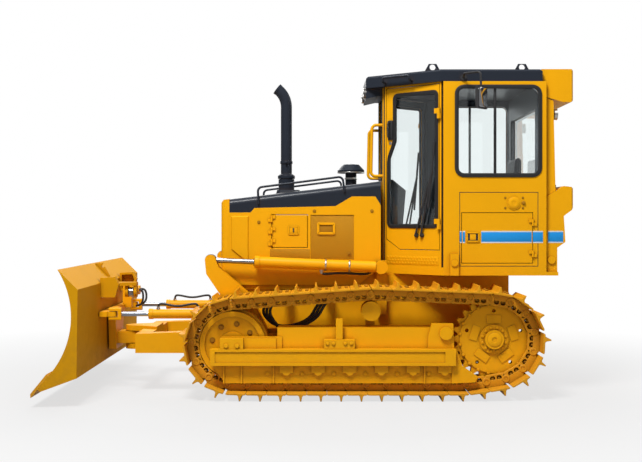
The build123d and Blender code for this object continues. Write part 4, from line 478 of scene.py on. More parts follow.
@dataclass(frozen=True)
class MetalFinish(Finish):
    """Bare or plated metal with fine rubbing in its gloss."""

    roughness: float = 0.16
    dust: float = 0.0
    grain: float = 180.0

    def _wire(self, tree: Tree, shader: Node, place: Socket, effects: Effects) -> None:
        """Add the metal's nodes."""
        skin = self._skin(tree, place, effects, 0.12, self.grain)
        spots = tree.use(effects.rubbed, Vector=place, Amount=0.25, Scale=60.0)
        rough = tree.math("ADD", self.roughness, tree.math("MULTIPLY", spots["Mask"], 0.12), clamp=True)
        # dusty tint low down, partly painted shade
        dust = tree.use(effects.dust, Vector=place, Color=skin["Color"], Amount=self.dust, Roughness=rough)
        bump = tree.add("ShaderNodeBump", Strength=0.008, Distance=0.001, Height=skin["Height"])
        tree.fill(shader, Normal=bump.outputs["Normal"], Metallic=1.0)
        tree.fill(shader, Base_Color=dust["Color"], Roughness=dust["Roughness"])


@dataclass(frozen=True)
class MouldedFinish(Finish):
    """Rubber or moulded plastic with a fine grain."""

    roughness: float = 0.6
    dust: float = 0.12
    relief: float = 0.25
    grain: float = 700.0

    def _wire(self, tree: Tree, shader: Node, place: Socket, effects: Effects) -> None:
        """Add the moulding's nodes."""
        skin = self._skin(tree, place, effects, 0.3, self.grain)
        # dusty tint low down, partly painted shade
        dust = tree.use(
            effects.dust, Vector=place, Color=skin["Color"], Amount=self.dust, Roughness=self.roughness
        )
        bump = tree.add("ShaderNodeBump", Strength=self.relief, Distance=0.001, Height=skin["Height"])
        tree.fill(shader, Normal=bump.outputs["Normal"])
        tree.fill(shader, Base_Color=dust["Color"], Roughness=dust["Roughness"])


@dataclass(frozen=True)
class ClothFinish(Finish):
    """Woven seat cloth."""

    thread: float = 150.0
    lit: float = 1.9

    def _wire(self, tree: Tree, shader: Node, place: Socket, effects: Effects) -> None:
        """Add the weave's nodes."""
        skin = self._skin(tree, place, effects, 0.35, 160.0)
        across = tree.add("ShaderNodeTexWave", Vector=place, Scale=self.thread, Distortion=0.6)
        along = tree.add("ShaderNodeTexWave", {"bands_direction": "Z"}, Vector=place, Scale=self.thread)
        weave = tree.math("MULTIPLY", across.outputs["Fac"], along.outputs["Fac"])
        bright = (*(self.lit * part for part in self.colour), 1.0)
        bump = tree.add("ShaderNodeBump", Strength=0.35, Distance=0.0015, Height=weave)
        tree.fill(
            shader, Base_Color=tree.blend(weave, skin["Color"], bright), Roughness=0.9,
            Normal=bump.outputs["Normal"], Sheen_Weight=0.25,
        )


@dataclass(frozen=True)
class GlassFinish(Finish):
    """Tinted flat glass that lets soft light into the cab."""

    def _wire(self, tree: Tree, shader: Node, place: Socket, effects: Effects) -> None:
        """Add the glass's nodes, which let shadow rays through."""
        skin = self._skin(tree, place, effects, 0.05, 40.0)
        tree.fill(shader, Base_Color=skin["Color"], Roughness=0.01, Transmission_Weight=1.0, IOR=1.45)
        clear = tree.add("ShaderNodeBsdfTransparent", Color=(*self.colour, 1.0))
        path = tree.add("ShaderNodeLightPath")
        tree.cover(path.outputs["Is Shadow Ray"], shader.outputs["BSDF"], clear.outputs["BSDF"])


AMBER = (0.90, 0.415, 0.003)
FINISHES = (
    PaintFinish("yellow_paint", AMBER),
    # cab paint is dark on its inner faces, partly painted shade
    PaintFinish("cab_paint", AMBER, lining=(0.035, 0.045, 0.055)),
    ScreenFinish("screen_paint", (0.80, 0.36, 0.006)),
    PaintFinish(
        "dark_paint", (0.020, 0.025, 0.036), "dark_paint", coat=0.1, rubbed=0.05, under=(0.1, 0.1, 0.1),
        grime=0.2,
    ),
    PaintFinish("stripe_blue", (0.020, 0.30, 0.75), dust=0.0, rubbed=0.02, grime=0.0),
    PaintFinish("stripe_pale", (0.70, 0.74, 0.78), dust=0.0, rubbed=0.02, grime=0.0),
    PaintFinish(
        "track_paint", (0.76, 0.34, 0.010), roughness=0.45, coat=0.05, dust=0.34, reach=1.3, rubbed=0.3
    ),
    PaintFinish(
        "blade_paint", (0.66, 0.31, 0.004), roughness=0.6, dust=0.4, reach=1.0, rubbed=0.25, gloss=0.05
    ),
    PaintFinish(
        "worn_edge", (0.72, 0.33, 0.012), roughness=0.45, coat=0.05, dust=0.35, reach=0.5, rubbed=0.6
    ),
    PaintFinish("nut_paint", (0.42, 0.19, 0.010), roughness=0.5, dust=0.4, reach=1.3, rubbed=0.5),
    MetalFinish("chrome_rod", (0.34, 0.36, 0.40), "chrome_rod", roughness=0.30),
    MetalFinish("plated_steel", (0.55, 0.53, 0.50), "chrome_rod", roughness=0.32, dust=0.2),
    MetalFinish("mirror_face", (0.62, 0.63, 0.65), "chrome_rod", roughness=0.06),
    GlassFinish("tinted_glass", (0.93, 0.97, 0.97), "tinted_glass"),
    GlassFinish("lamp_lens", (0.95, 0.95, 0.95), "tinted_glass"),
    ClothFinish("seat_cloth", (0.030, 0.030, 0.035), "seat_cloth"),
    MouldedFinish("dark_plastic", (0.020, 0.020, 0.022), "dark_plastic"),
    MouldedFinish("hose_rubber", (0.015, 0.015, 0.016), "hose_rubber", roughness=0.55, relief=0.15),
    MouldedFinish("window_rubber", (0.012, 0.012, 0.013), "hose_rubber", roughness=0.5, dust=0.0, relief=0.1),
    MouldedFinish(
        "engine_casting", (0.08, 0.08, 0.085), "engine_casting", roughness=0.7, relief=0.5, grain=240.0
    ),
)


class Finishes:
    """Every finish on the machine, by its name."""

    def __init__(self) -> None:
        """Make the shared groups and then each material."""
        effects = Effects()
        self.by_name = {finish.name: finish.make(effects) for finish in FINISHES}
        self.slots = {finish.name: finish.slot for finish in FINISHES}

    def dress_nodes(self, frame: dict) -> None:
        """Give every CAD node the finish of its material slot.
        """
        special = dict.fromkeys(("cab_floor", "cab_front", "cab_rear"), "cab_paint")
        special |= {"cutting_edge": "worn_edge", "blade": "blade_paint"}
        for side in Side:
            special |= dict.fromkeys((f"cab_side_{side.word}", f"cab_door_{side.word}"), "cab_paint")
        plain = self.by_name["yellow_paint"]
        for name, node in sorted(frame["nodes"].items()):
            for index, slot in enumerate(node.material_slots):
                label = slot.material.name.split(".")[0] if slot.material else "yellow_paint"
                node.data.materials[index] = self.by_name.get(special.get(name, label), plain)
            LOG.info("node %s keeps %s", name, [material.name for material in node.data.materials])


class Bench:
    """The modelling steps that the sub-assemblies share, all with Blender's own operators."""

    def __init__(self, finishes: Finishes) -> None:
        """Keep the finishes that pieces are dressed with.

        Args:
            finishes: every material of the machine.
        """
        self.finishes = finishes

    @staticmethod
    def only(piece: Piece) -> None:
        """Select one object and make it active."""
        bpy.ops.object.select_all(action="DESELECT")
        piece.select_set(True)
        bpy.context.view_layer.objects.active = piece

    def soften(self, piece: Piece, width: float, segments: int = 2) -> Piece:
        """Round a piece's sharp edges with an applied bevel.

        Args:
            piece: the object.
            width: the bevel's width, or 0 for none.
            segments: how many steps it has.

        Returns:
            The same object.
        """
        if width > 0.0:
            self.only(piece)
            bevel = piece.modifiers.new("soft_edges", "BEVEL")
            bevel.width = width
            bevel.segments = segments
            bevel.limit_method = "ANGLE"
            bevel.angle_limit = math.radians(38.0)
            bpy.ops.object.modifier_apply(modifier=bevel.name)
        return piece

    def cut(self, piece: Piece, tool: Piece) -> Piece:
        """Cut one object's shape out of another and drop the tool.

        Args:
            piece: what is cut.
            tool: the shape that is taken away.

        Returns:
            The cut object.
        """
        self.only(piece)
        difference = piece.modifiers.new("cut", "BOOLEAN")
        difference.object = tool
        difference.operation = "DIFFERENCE"
        bpy.ops.object.modifier_apply(modifier=difference.name)
        bpy.data.objects.remove(tool, do_unlink=True)
        return piece

    def block(self, name: str, low: Point, high: Point, bevel: float = 0.004) -> Piece:
        """Model a block between two corners, with rounded edges.

        Args:
            name: the object's name.
            low: its lowest corner.
            high: its highest corner.
            bevel: the width of its edges' rounding.

        Returns:
            The new object.
        """
        bpy.ops.object.select_all(action="DESELECT")
        bpy.ops.mesh.primitive_cube_add(size=1.0, location=(Vector(low) + Vector(high)) / 2.0)
        piece = bpy.context.object
        piece.name = name
        piece.scale = Vector(high) - Vector(low)
        bpy.ops.object.transform_apply(location=True, rotation=True, scale=True)
        return self.soften(piece, bevel)

    def turned(self, name: str, centre: Point, axis: Point, profile: Steps, sides: int = 28) -> Piece:
        """Model a turned piece from a disc that is extruded and resized step by step.

        Args:
            name: the object's name.
            centre: where its axis starts.
            axis: the direction of its axis.
            profile: each step's radius and its distance along the axis.
            sides: how many sides a round has.

        Returns:
            The new object.
        """
        bpy.ops.object.select_all(action="DESELECT")
        radius, along = profile[0]
        bpy.ops.mesh.primitive_circle_add(
            vertices=sides, radius=radius, fill_type="NGON", location=(0.0, 0.0, along)
        )
        piece = bpy.context.object
        piece.name = name
        bpy.ops.object.transform_apply(location=True, rotation=True, scale=True)
        bpy.ops.object.mode_set(mode="EDIT")
        bpy.ops.mesh.select_all(action="SELECT")
        for next_radius, next_along in profile[1:]:
            bpy.ops.mesh.extrude_region_move(TRANSFORM_OT_translate={"value": (0.0, 0.0, next_along - along)})
            share = next_radius / radius
            if share != 1.0:
                bpy.ops.transform.resize(value=(share, share, 1.0), center_override=(0.0, 0.0, next_along))
            radius, along = next_radius, next_along
        bpy.ops.mesh.select_all(action="SELECT")
        bpy.ops.mesh.normals_make_consistent(inside=False)
        bpy.ops.object.mode_set(mode="OBJECT")
        piece.rotation_mode = "QUATERNION"
        piece.rotation_quaternion = Vector(axis).to_track_quat("Z", "Y")
        piece.location = centre
        bpy.ops.object.transform_apply(location=True, rotation=True, scale=True)
        return piece

    def rod(self, name: str, start: Point, end: Point, radius: float, sides: int = 20) -> Piece:
        """Model a round bar with eased ends.

        Args:
            name: the object's name.
            start: one end of its axis.
            end: the other end.
            radius: its radius.
            sides: how many sides it has.

        Returns:
            The new object.
        """
        run = Vector(end) - Vector(start)
        length = run.length
        ease = min(0.15 * radius, 0.25 * length)
        end_radius = radius - ease
        profile = ((end_radius, 0.0), (radius, ease), (radius, length - ease), (end_radius, length))
        return self.turned(name, start, run, profile, sides)

    @staticmethod
    def rect(y: float, x0: float, x1: float, z0: float, z1: float, inset: float = 0.0) -> list[Point]:
        """Corners of an upright rectangle that faces sideways.

        Args:
            y: where its plane is.
            x0: its first side.
            x1: its other side.
            z0: its lower edge.
            z1: its upper edge.
            inset: how far each edge is drawn in.

        Returns:
            The four corners in order.
        """
        x0, x1, z0, z1 = x0 + inset, x1 - inset, z0 + inset, z1 - inset
        return [(x0, y, z0), (x1, y, z0), (x1, y, z1), (x0, y, z1)]

    @staticmethod
    def _outline(name: str, corners: Sequence[Point], round_by: float, segments: int) -> Piece:
        """Model a flat face from a filled circle with as many points, and leave it selected in Edit Mode.

        Args:
            name: the object's name.
            corners: the face's corners in order, all in one plane.
            round_by: the rounding of its corners.
            segments: how many steps a rounding has.

        Returns:
            The new object.
        """
        bpy.ops.object.select_all(action="DESELECT")
        bpy.ops.mesh.primitive_circle_add(vertices=len(corners), radius=1.0, fill_type="NGON")
        face = bpy.context.object
        face.name = name
        for vertex, corner in zip(face.data.vertices, corners):
            vertex.co = corner
        bpy.ops.object.mode_set(mode="EDIT")
        bpy.ops.mesh.select_all(action="SELECT")
        if round_by > 0.0:
            bpy.ops.mesh.bevel(offset=round_by, segments=segments, affect="VERTICES")
            bpy.ops.mesh.select_all(action="SELECT")
        return face

    def _thicken(self, piece: Piece, push: Point, bevel: float) -> Piece:
        """Push a face in Edit Mode out to a plate, and round its edges.

        Args:
            piece: the object.
            push: the way and depth of its thickness.
            bevel: the rounding of the plate's edges.

        Returns:
            The same object.
        """
        bpy.ops.mesh.extrude_region_move(TRANSFORM_OT_translate={"value": tuple(push)})
        bpy.ops.mesh.select_all(action="SELECT")
        bpy.ops.mesh.normals_make_consistent(inside=False)
        bpy.ops.object.mode_set(mode="OBJECT")
        return self.soften(piece, bevel)

    def panel(
        self, name: str, corners: Sequence[Point], push: Point, round_by: float = 0.0, bevel: float = 0.0
    ) -> Piece:
        """Model a plate from its outline.

        Args:
            name: the object's name.
            corners: the outline's corners in order.
            push: the way and depth of its thickness.
            round_by: the rounding of the outline's corners.
            bevel: the rounding of the plate's edges.

        Returns:
            The new object.
        """
        return self._thicken(self._outline(name, corners, round_by, 5), push, bevel)

    def band(
        self, name: str, corners: Sequence[Point], push: Point, width: float, round_by: float,
        bevel: float = 0.002,
    ) -> Piece:
        """Model a closed band that runs inside an outline, such as a window's seal.

        Args:
            name: the object's name.
            corners: the outer outline's corners in order.
            push: the way and depth of its thickness.
            width: the band's width.
            round_by: the rounding of the outline's corners.
            bevel: the rounding of the band's edges.

        Returns:
            The new object.
        """
        piece = self._outline(name, corners, round_by, 6)
        bpy.ops.mesh.inset(thickness=width, use_boundary=True)
        bpy.ops.mesh.delete(type="FACE")
        bpy.ops.mesh.select_all(action="SELECT")
        return self._thicken(piece, push, bevel)

    def ring(self, name: str, place: Vector, axis: Vector, sizes: Point, sides: int = 32) -> Piece:
        """Model a ring round an axis.

        Args:
            name: the ring's name.
            place: the middle of its first face.
            axis: the way that it is as long as.
            sizes: its outer radius, its inner radius and its length.
            sides: how many sides it has.

        Returns:
            The new object.
        """
        outer, inner, length = sizes
        turn = axis.to_track_quat("Z", "Y")
        corners = []
        for index in range(sides):
            angle = math.tau * index / sides
            corners.append(place + turn @ Vector((outer * math.cos(angle), outer * math.sin(angle), 0.0)))
        return self.band(name, corners, axis * length, outer - inner, 0.0, 0.003)

    def hose(self, name: str, points: Sequence[Point], radius: float) -> Piece:
        """Model a smooth round tube along a few points, as a mesh.

        Args:
            name: the object's name.
            points: the control points of its route.
            radius: its radius.

        Returns:
            The new object.
        """
        curve = bpy.data.curves.new(name, "CURVE")
        curve.dimensions = "3D"
        curve.bevel_depth = radius
        curve.bevel_resolution = 3
        curve.use_fill_caps = True
        spline = curve.splines.new("NURBS")
        spline.points.add(len(points) - 1)
        for knot, point in zip(spline.points, points):
            knot.co = (*point, 1.0)
        spline.order_u = 3
        spline.use_endpoint_u = True
        spline.resolution_u = 6
        piece = bpy.data.objects.new(name, curve)
        bpy.context.scene.collection.objects.link(piece)
        self.only(piece)
        bpy.ops.object.convert(target="MESH")
        return bpy.context.object

    @staticmethod
    def copies(piece: Piece, places: Iterable[Matrix]) -> list[Piece]:
        """Copy a piece, each copy with its own mesh, and drop the pattern.

        Args:
            piece: the pattern, modelled round the origin.
            places: where each copy stands.

        Returns:
            The copies.
        """
        made = []
        for place in places:
            copy = piece.copy()
            copy.data = piece.data.copy()
            copy.data.transform(place)
            bpy.context.scene.collection.objects.link(copy)
            made.append(copy)
        bpy.data.objects.remove(piece, do_unlink=True)
        return made

    @staticmethod
    def joined(name: str, pieces: Sequence[Piece]) -> Piece:
        """Join objects into one.

        Args:
            name: the joined object's name.
            pieces: the objects.

        Returns:
            The joined object.
        """
        bpy.ops.object.select_all(action="DESELECT")
        for piece in pieces:
            piece.select_set(True)
        bpy.context.view_layer.objects.active = pieces[0]
        if len(pieces) > 1:
            bpy.ops.object.join()
        whole = bpy.context.view_layer.objects.active
        whole.name = name
        return whole

    def bolts(
        self, name: str, places: Sequence[Point], axis: Point, radius: float = 0.014, height: float = 0.010
    ) -> Piece:
        """Model a hexagon bolt head on its washer and copy it to each place.

        Args:
            name: the joined object's name.
            places: the middle of each washer's seat.
            axis: the way the heads face.
            radius: a head's radius over its corners.
            height: a head's height.

        Returns:
            The joined object.
        """
        seat, lift = 1.35 * radius, 0.003
        washer = self.turned("washer", ORIGIN, UP, ((seat, -0.001), (seat, lift)), 16)
        steps = ((radius, lift), (radius, 0.8 * height), (0.82 * radius, height))
        head = self.turned("head", ORIGIN, UP, steps, 6)
        pattern = self.joined("bolt", [washer, head])
        turn = Vector(axis).to_track_quat("Z", "Y").to_matrix().to_4x4()
        stands = [Matrix.Translation(place) @ turn for place in places]
        return self.joined(name, self.copies(pattern, stands))

    def dress(
        self, piece: Piece, finish: str, body: str = "chassis", smooth: float = 35.0
    ) -> None:
        """Give a piece its finish, its shading and the body that it rides on.

        Args:
            piece: the finished mesh.
            finish: the name of its material.
            body: the CAD body that carries it.
            smooth: the largest angle in degrees that is shaded smooth.
        """
        piece.data.materials.clear()
        piece.data.materials.append(self.finishes.by_name[finish])
        self.only(piece)
        bpy.ops.object.shade_smooth_by_angle(angle=math.radians(smooth))
        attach(piece, body)
        LOG.info("piece %s rides on %s in %s, %d faces", piece.name, body, finish, len(piece.data.polygons))


@dataclass
class TrackDress:
    """A whole track: link plates with nut windows, pin ends, and shoes with lugs and bolts."""

    side: Side
    pitch: float = 0.17145
    link_height: float = 0.104
    link_plate: float = 0.040
    link_spread: float = 0.120
    shoe_width: float = 0.460
    shoe_plate: float = 0.015
    shoe_gap: float = 0.003
    lug_height: float = 0.050
    lug_root: float = 0.026
    lug_tip: float = 0.011
    lug_back: float = 0.034
    bolt_reach: float = 0.028
    head_ahead: float = 0.026
    window_half: float = 0.021
    window_top: float = 0.011
    pin_end: Steps = (
        (0.034, -0.010), (0.034, 0.002), (0.030, 0.005), (0.019, 0.005), (0.017, 0.001), (0.004, 0.001),
    )
    bushing: Steps = ((0.030, -0.045), (0.030, 0.045))
    nut: Steps = ((0.015, -0.006), (0.015, -0.020), (0.011, -0.023))
    chord_dip: float = 0.006
    gauge: float = 1.730
    idler_reach: float = 0.280
    carrier: tuple[float, float, float] = (-0.505, 0.746, 0.083)
    roller: tuple[float, float, float] = (0.212, -1.126, 0.090)
    drive_behind: float = 0.430
    sprocket_teeth: int = 25

    def build(self, bench: Bench) -> None:
        """Model one pitch, copy it round the chain and put it in place of the plain loop.

        Args:
            bench: the modelling steps.
        """
        steel = bench.joined("link_steel", self._link(bench))
        places = self._places()
        chain = bench.joined(f"track_detail_{self.side.word}", bench.copies(steel, places))
        bench.dress(chain, "track_paint")
        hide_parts(f"track_{self.side.word}")
        nuts = bench.copies(self._nuts(bench), places)
        bench.dress(bench.joined(f"track_nuts_{self.side.word}", nuts), "nut_paint")

    def _wheels(self) -> list[tuple[float, float, float]]:
        """The wheels that the pin line wraps, from the last roller round the idler: x, z and radius."""
        half = self.link_height / 2.0
        low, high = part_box(f"idler_{self.side.word}")
        idler_x, idler_z = (low[0] + high[0]) / 2.0, (low[2] + high[2]) / 2.0
        low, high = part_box(f"sprocket_{self.side.word}")
        drive_z = (low[2] + high[2]) / 2.0
        first, last, round_by = self.roller
        floor_z = self.lug_height + self.shoe_plate + half
        reach = round_by + half + self.chord_dip
        carrier_x, carrier_z, carrier_r = self.carrier
        drive_x = last - self.drive_behind
        return [
            (last - self.pitch, floor_z + reach, reach),
            (first + self.pitch, floor_z + reach, reach),
            (idler_x, idler_z, math.hypot(self.idler_reach + half, self.pitch / 2.0)),
            (carrier_x, carrier_z, carrier_r + half + self.chord_dip),
            (drive_x, round(drive_z, 3), self.pitch / 2.0 / math.sin(2.0 * math.pi / self.sprocket_teeth)),
        ]

    def _runs(self) -> list[tuple[float, Vector, float, float]]:
        """The pin line's arcs and straights: length, start or centre, start heading, and radius or 0."""
        wheels = self._wheels()
        headings = []
        for (ax, az, ar), (bx, bz, br) in zip(wheels, wheels[1:] + wheels[:1]):
            span = math.hypot(bx - ax, bz - az)
            headings.append(math.atan2(bz - az, bx - ax) + math.asin((ar - br) / span))
        runs = []
        for index, (x, z, radius) in enumerate(wheels):
            start, end = headings[index - 1], headings[index]
            runs.append((radius * ((end - start) % math.tau), Vector((x, 0.0, z)), start, radius))
            bx, bz, br = wheels[(index + 1) % len(wheels)]
            leave = Vector((x + radius * math.sin(end), 0.0, z - radius * math.cos(end)))
            arrive = Vector((bx + br * math.sin(end), 0.0, bz - br * math.cos(end)))
            runs.append(((arrive - leave).length, leave, end, 0.0))
        return runs

    def _pins(self) -> list[Vector]:
        """The pin centres, evenly spread along the pin line."""
        runs = self._runs()
        total = sum(run[0] for run in runs)
        count = round(total / self.pitch)
        pins = []
        for index in range(count):
            along = index * total / count
            for length, place, heading, radius in runs:
                if along <= length:
                    turn = heading + along / radius if radius else heading
                    if radius:
                        pins.append(place + radius * Vector((math.sin(turn), 0.0, -math.cos(turn))))
                    else:
                        pins.append(place + along * Vector((math.cos(turn), 0.0, math.sin(turn))))
                    break
                along -= length
        return pins

    def _places(self) -> list[Matrix]:
        """Where each pitch stands: x along the chain and z outwards from the pin line."""
        pins = self._pins()
        places = []
        for here, after in zip(pins, pins[1:] + pins[:1]):
            along = (after - here).normalized()
            out = Vector((along.z, 0.0, -along.x))
            turn = Matrix((along, Vector((0.0, -1.0, 0.0)), out)).transposed().to_4x4()
            middle = (here + after) / 2.0 + Vector((0.0, self.side.value * self.gauge / 2.0, 0.0))
            places.append(Matrix.Translation(middle) @ turn)
        return places

    def _link(self, bench: Bench) -> list[Piece]:
        """One pitch's link plates, pin ends and shoe, round the origin."""
        half, reach = self.link_height / 2.0, self.pitch / 2.0
        pieces = []
        for across in (-self.link_spread / 2.0, self.link_spread / 2.0):
            low, high = across - self.link_plate / 2.0, across + self.link_plate / 2.0
            profile = (
                (-reach + 0.012, -half), (reach - 0.010, -half), (reach + 0.030, -0.022),
                (reach + 0.030, 0.026), (reach - 0.006, half), (-reach + 0.030, half),
                (-reach - 0.004, 0.018),
            )
            corners = [(u, low, v) for u, v in profile]
            plate = bench.panel("link_plate", corners, (0.0, high - low, 0.0), 0.006)
            wide, narrow = self.window_half, self.window_top
            for middle in (-self.bolt_reach, self.bolt_reach):
                arch = (
                    (-wide, -0.006), (wide, -0.006), (wide, -0.026), (narrow, -0.037), (-narrow, -0.037),
                    (-wide, -0.026),
                )
                corners = [(middle + u, low - 0.01, v) for u, v in arch]
                bench.cut(plate, bench.panel("window", corners, (0.0, high - low + 0.02, 0.0)))
            pieces.append(bench.soften(plate, 0.003, 1))
            face = math.copysign(self.link_spread / 2.0 + self.link_plate / 2.0, across)
            way = (0.0, math.copysign(1.0, across), 0.0)
            pieces.append(bench.turned("pin_end", (reach, face, 0.0), way, self.pin_end, 18))
        pieces.append(bench.turned("bushing", (reach, 0.0, 0.0), (0.0, 1.0, 0.0), self.bushing, 18))
        pieces.append(self._shoe(bench))
        return pieces

    def _shoe(self, bench: Bench) -> Piece:
        """One shoe: its plate with turned-up lips and the tapered lug."""
        inner, outer = self.link_height / 2.0 - 0.001, self.link_height / 2.0 + self.shoe_plate
        end = self.pitch / 2.0 - self.shoe_gap / 2.0
        lug, root, tip = -self.lug_back, self.lug_root / 2.0, self.lug_tip / 2.0
        top = outer + self.lug_height
        profile = (
            (-end, inner), (-end, outer - 0.004), (-end + 0.012, outer), (lug - root - 0.010, outer),
            (lug - root, outer + 0.010), (lug - tip, top), (lug + tip, top), (lug + root, outer + 0.010),
            (lug + root + 0.010, outer), (end - 0.012, outer), (end, outer - 0.004), (end, inner),
        )
        near = -self.shoe_width / 2.0
        shoe = bench.panel("shoe", [(u, near, v) for u, v in profile], (0.0, self.shoe_width, 0.0))
        return bench.soften(shoe, 0.002, 1)

    def _nuts(self, bench: Bench) -> Piece:
        """One pitch's shoe bolts: the nuts in the link windows and the heads on the shoe's outer face."""
        top = self.link_height / 2.0 + self.shoe_plate
        head = ((0.016, top - 0.002), (0.016, top + 0.009), (0.012, top + 0.012))
        nuts = []
        for across in (-self.link_spread / 2.0, self.link_spread / 2.0):
            for along in (-self.bolt_reach, self.bolt_reach):
                nuts.append(bench.turned("nut", (along, across, 0.0), UP, self.nut, 6))
                nuts.append(bench.turned("head", (along + self.head_ahead, across, 0.0), UP, head, 6))
        return bench.joined("nuts", nuts)


@dataclass
class UndercarriageDress:
    """Bolts on one side's track frame and sprocket, and the hoses that hang between frame and track."""

    side: Side
    guard_y: float = 0.995
    ledge_y: float = 1.055
    first_roller: float = 0.212
    roller_step: float = 0.2676
    roller_count: int = 6
    guard_bolt_z: float = 0.221
    idler: tuple[float, float] = (0.672, 0.462)
    idler_face: float = 0.932
    idler_ring: float = 0.176
    bracket_x: float = -0.235
    bracket_top: float = 0.513
    drive: tuple[float, float] = (-1.556, 0.502)
    flange_y: float = 0.919
    flange_ring: float = 0.102
    rim_ring: float = 0.292
    cap_y: float = 0.949
    hose_y: Sequence[float] = (0.650, 0.676, 0.702)
    hose_radius: float = 0.013
    hose_step: float = 0.030
    first_bolt: float = 0.161
    slide_bolts: Sequence[float] = (0.047, -0.047)
    bracket_bolts: Sequence[float] = (-0.100, -0.050, 0.050, 0.100)
    drive_cap: Steps = (
        (0.060, -0.002), (0.060, 0.004), (0.052, 0.008), (0.022, 0.008), (0.020, 0.002), (0.004, 0.002),
    )
    hose_end: Steps = ((0.022, 0.0), (0.022, 0.018), (0.017, 0.020), (0.017, 0.050), (0.014, 0.052))

    def _at(self, x: float, y: float, z: float) -> Vector:
        """A point on this side of the machine."""
        return Vector((x, self.side.value * y, z))

    def build(self, bench: Bench) -> None:
        """Model this side's fasteners and hoses.

        Args:
            bench: the modelling steps.
        """
        word, out = self.side.word, self.side.out
        guard = [self._at(self.first_roller + self.first_bolt, self.guard_y, self.guard_bolt_z)]
        for gap in range(self.roller_count - 1):
            x = self.first_roller - (gap + 0.5) * self.roller_step
            guard.append(self._at(x, self.guard_y, self.guard_bolt_z))
        x, z = self.idler
        slide = [self._at(x + shift, self.ledge_y - 0.008, z) for shift in self.slide_bolts]
        bracket = [
            self._at(self.bracket_x + shift, self.ledge_y - 0.012, self.bracket_top - 0.030)
            for shift in self.bracket_bolts
        ]
        flange = self._circle(self.drive, self.flange_y, self.flange_ring, 12, 0.5)
        rim = self._circle(self.drive, self.flange_y - 0.016, self.rim_ring, 20, 0.5)
        wheel = self._circle(self.idler, self.idler_face, self.idler_ring, 8, 0.25)
        for name, places, radius, height, finish in (
            ("guard_bolts", guard, 0.017, 0.010, "yellow_paint"),
            ("slide_bolts", slide, 0.019, 0.016, "yellow_paint"),
            ("bracket_bolts", bracket, 0.015, 0.012, "yellow_paint"),
            ("flange_bolts", flange, 0.013, 0.010, "yellow_paint"),
            ("rim_bolts", rim, 0.012, 0.010, "yellow_paint"),
            ("idler_bolts", wheel, 0.018, 0.012, "nut_paint"),
        ):
            bench.dress(bench.bolts(f"{name}_{word}", places, out, radius, height), finish)
        x, z = self.drive
        cap = bench.turned(f"drive_cap_{word}", self._at(x, self.cap_y, z), out, self.drive_cap)
        bench.dress(cap, "yellow_paint")
        self._hoses(bench)

    def _circle(
        self, centre: tuple[float, float], y: float, radius: float, count: int, phase: float
    ) -> list[Vector]:
        """Places for a ring of bolts on a wheel's face.

        Args:
            centre: the wheel's axis, as x and z.
            y: the face that they sit on.
            radius: the ring's radius.
            count: how many bolts it has.
            phase: the first bolt's share of a step from the x axis.

        Returns:
            The bolts' places.
        """
        turns = [math.tau * (index + phase) / count for index in range(count)]
        x, z = centre
        return [self._at(x + radius * math.cos(turn), y, z + radius * math.sin(turn)) for turn in turns]

    def _hoses(self, bench: Bench) -> None:
        """Model the three hydraulic hoses that loop down from the main frame's side rail."""
        hoses = []
        for index, y in enumerate(self.hose_y):
            sink = self.hose_step * index
            dip = 0.590 - sink / 2.0
            route = (
                (0.240, 0.428, 0.865), (0.245, 0.520, 0.868), (0.270, y, 0.865), (0.400, y, 0.800),
                (0.440, y, 0.700), (0.330, y, dip), (0.170 + sink, y, dip), (0.020, y, 0.650),
                (-0.050, y, 0.780), (-0.110, y, 0.862), (-0.120, 0.520, 0.866), (-0.120, 0.428, 0.865),
            )
            points = [self._at(x - sink, across, z) for x, across, z in route]
            hoses.append(bench.hose("loop_hose", points, self.hose_radius))
        bundle = bench.joined(f"loop_hoses_{self.side.word}", hoses)
        bench.dress(bundle, "hose_rubber", smooth=ROUND)
        ends = []
        for index in range(len(self.hose_y)):
            for x in (0.240, -0.120):
                place = self._at(x - self.hose_step * index, 0.4305, 0.865)
                ends.append(bench.turned("hose_end", place, self.side.out, self.hose_end, 12))
        bench.dress(bench.joined(f"loop_hose_ends_{self.side.word}", ends), "plated_steel")


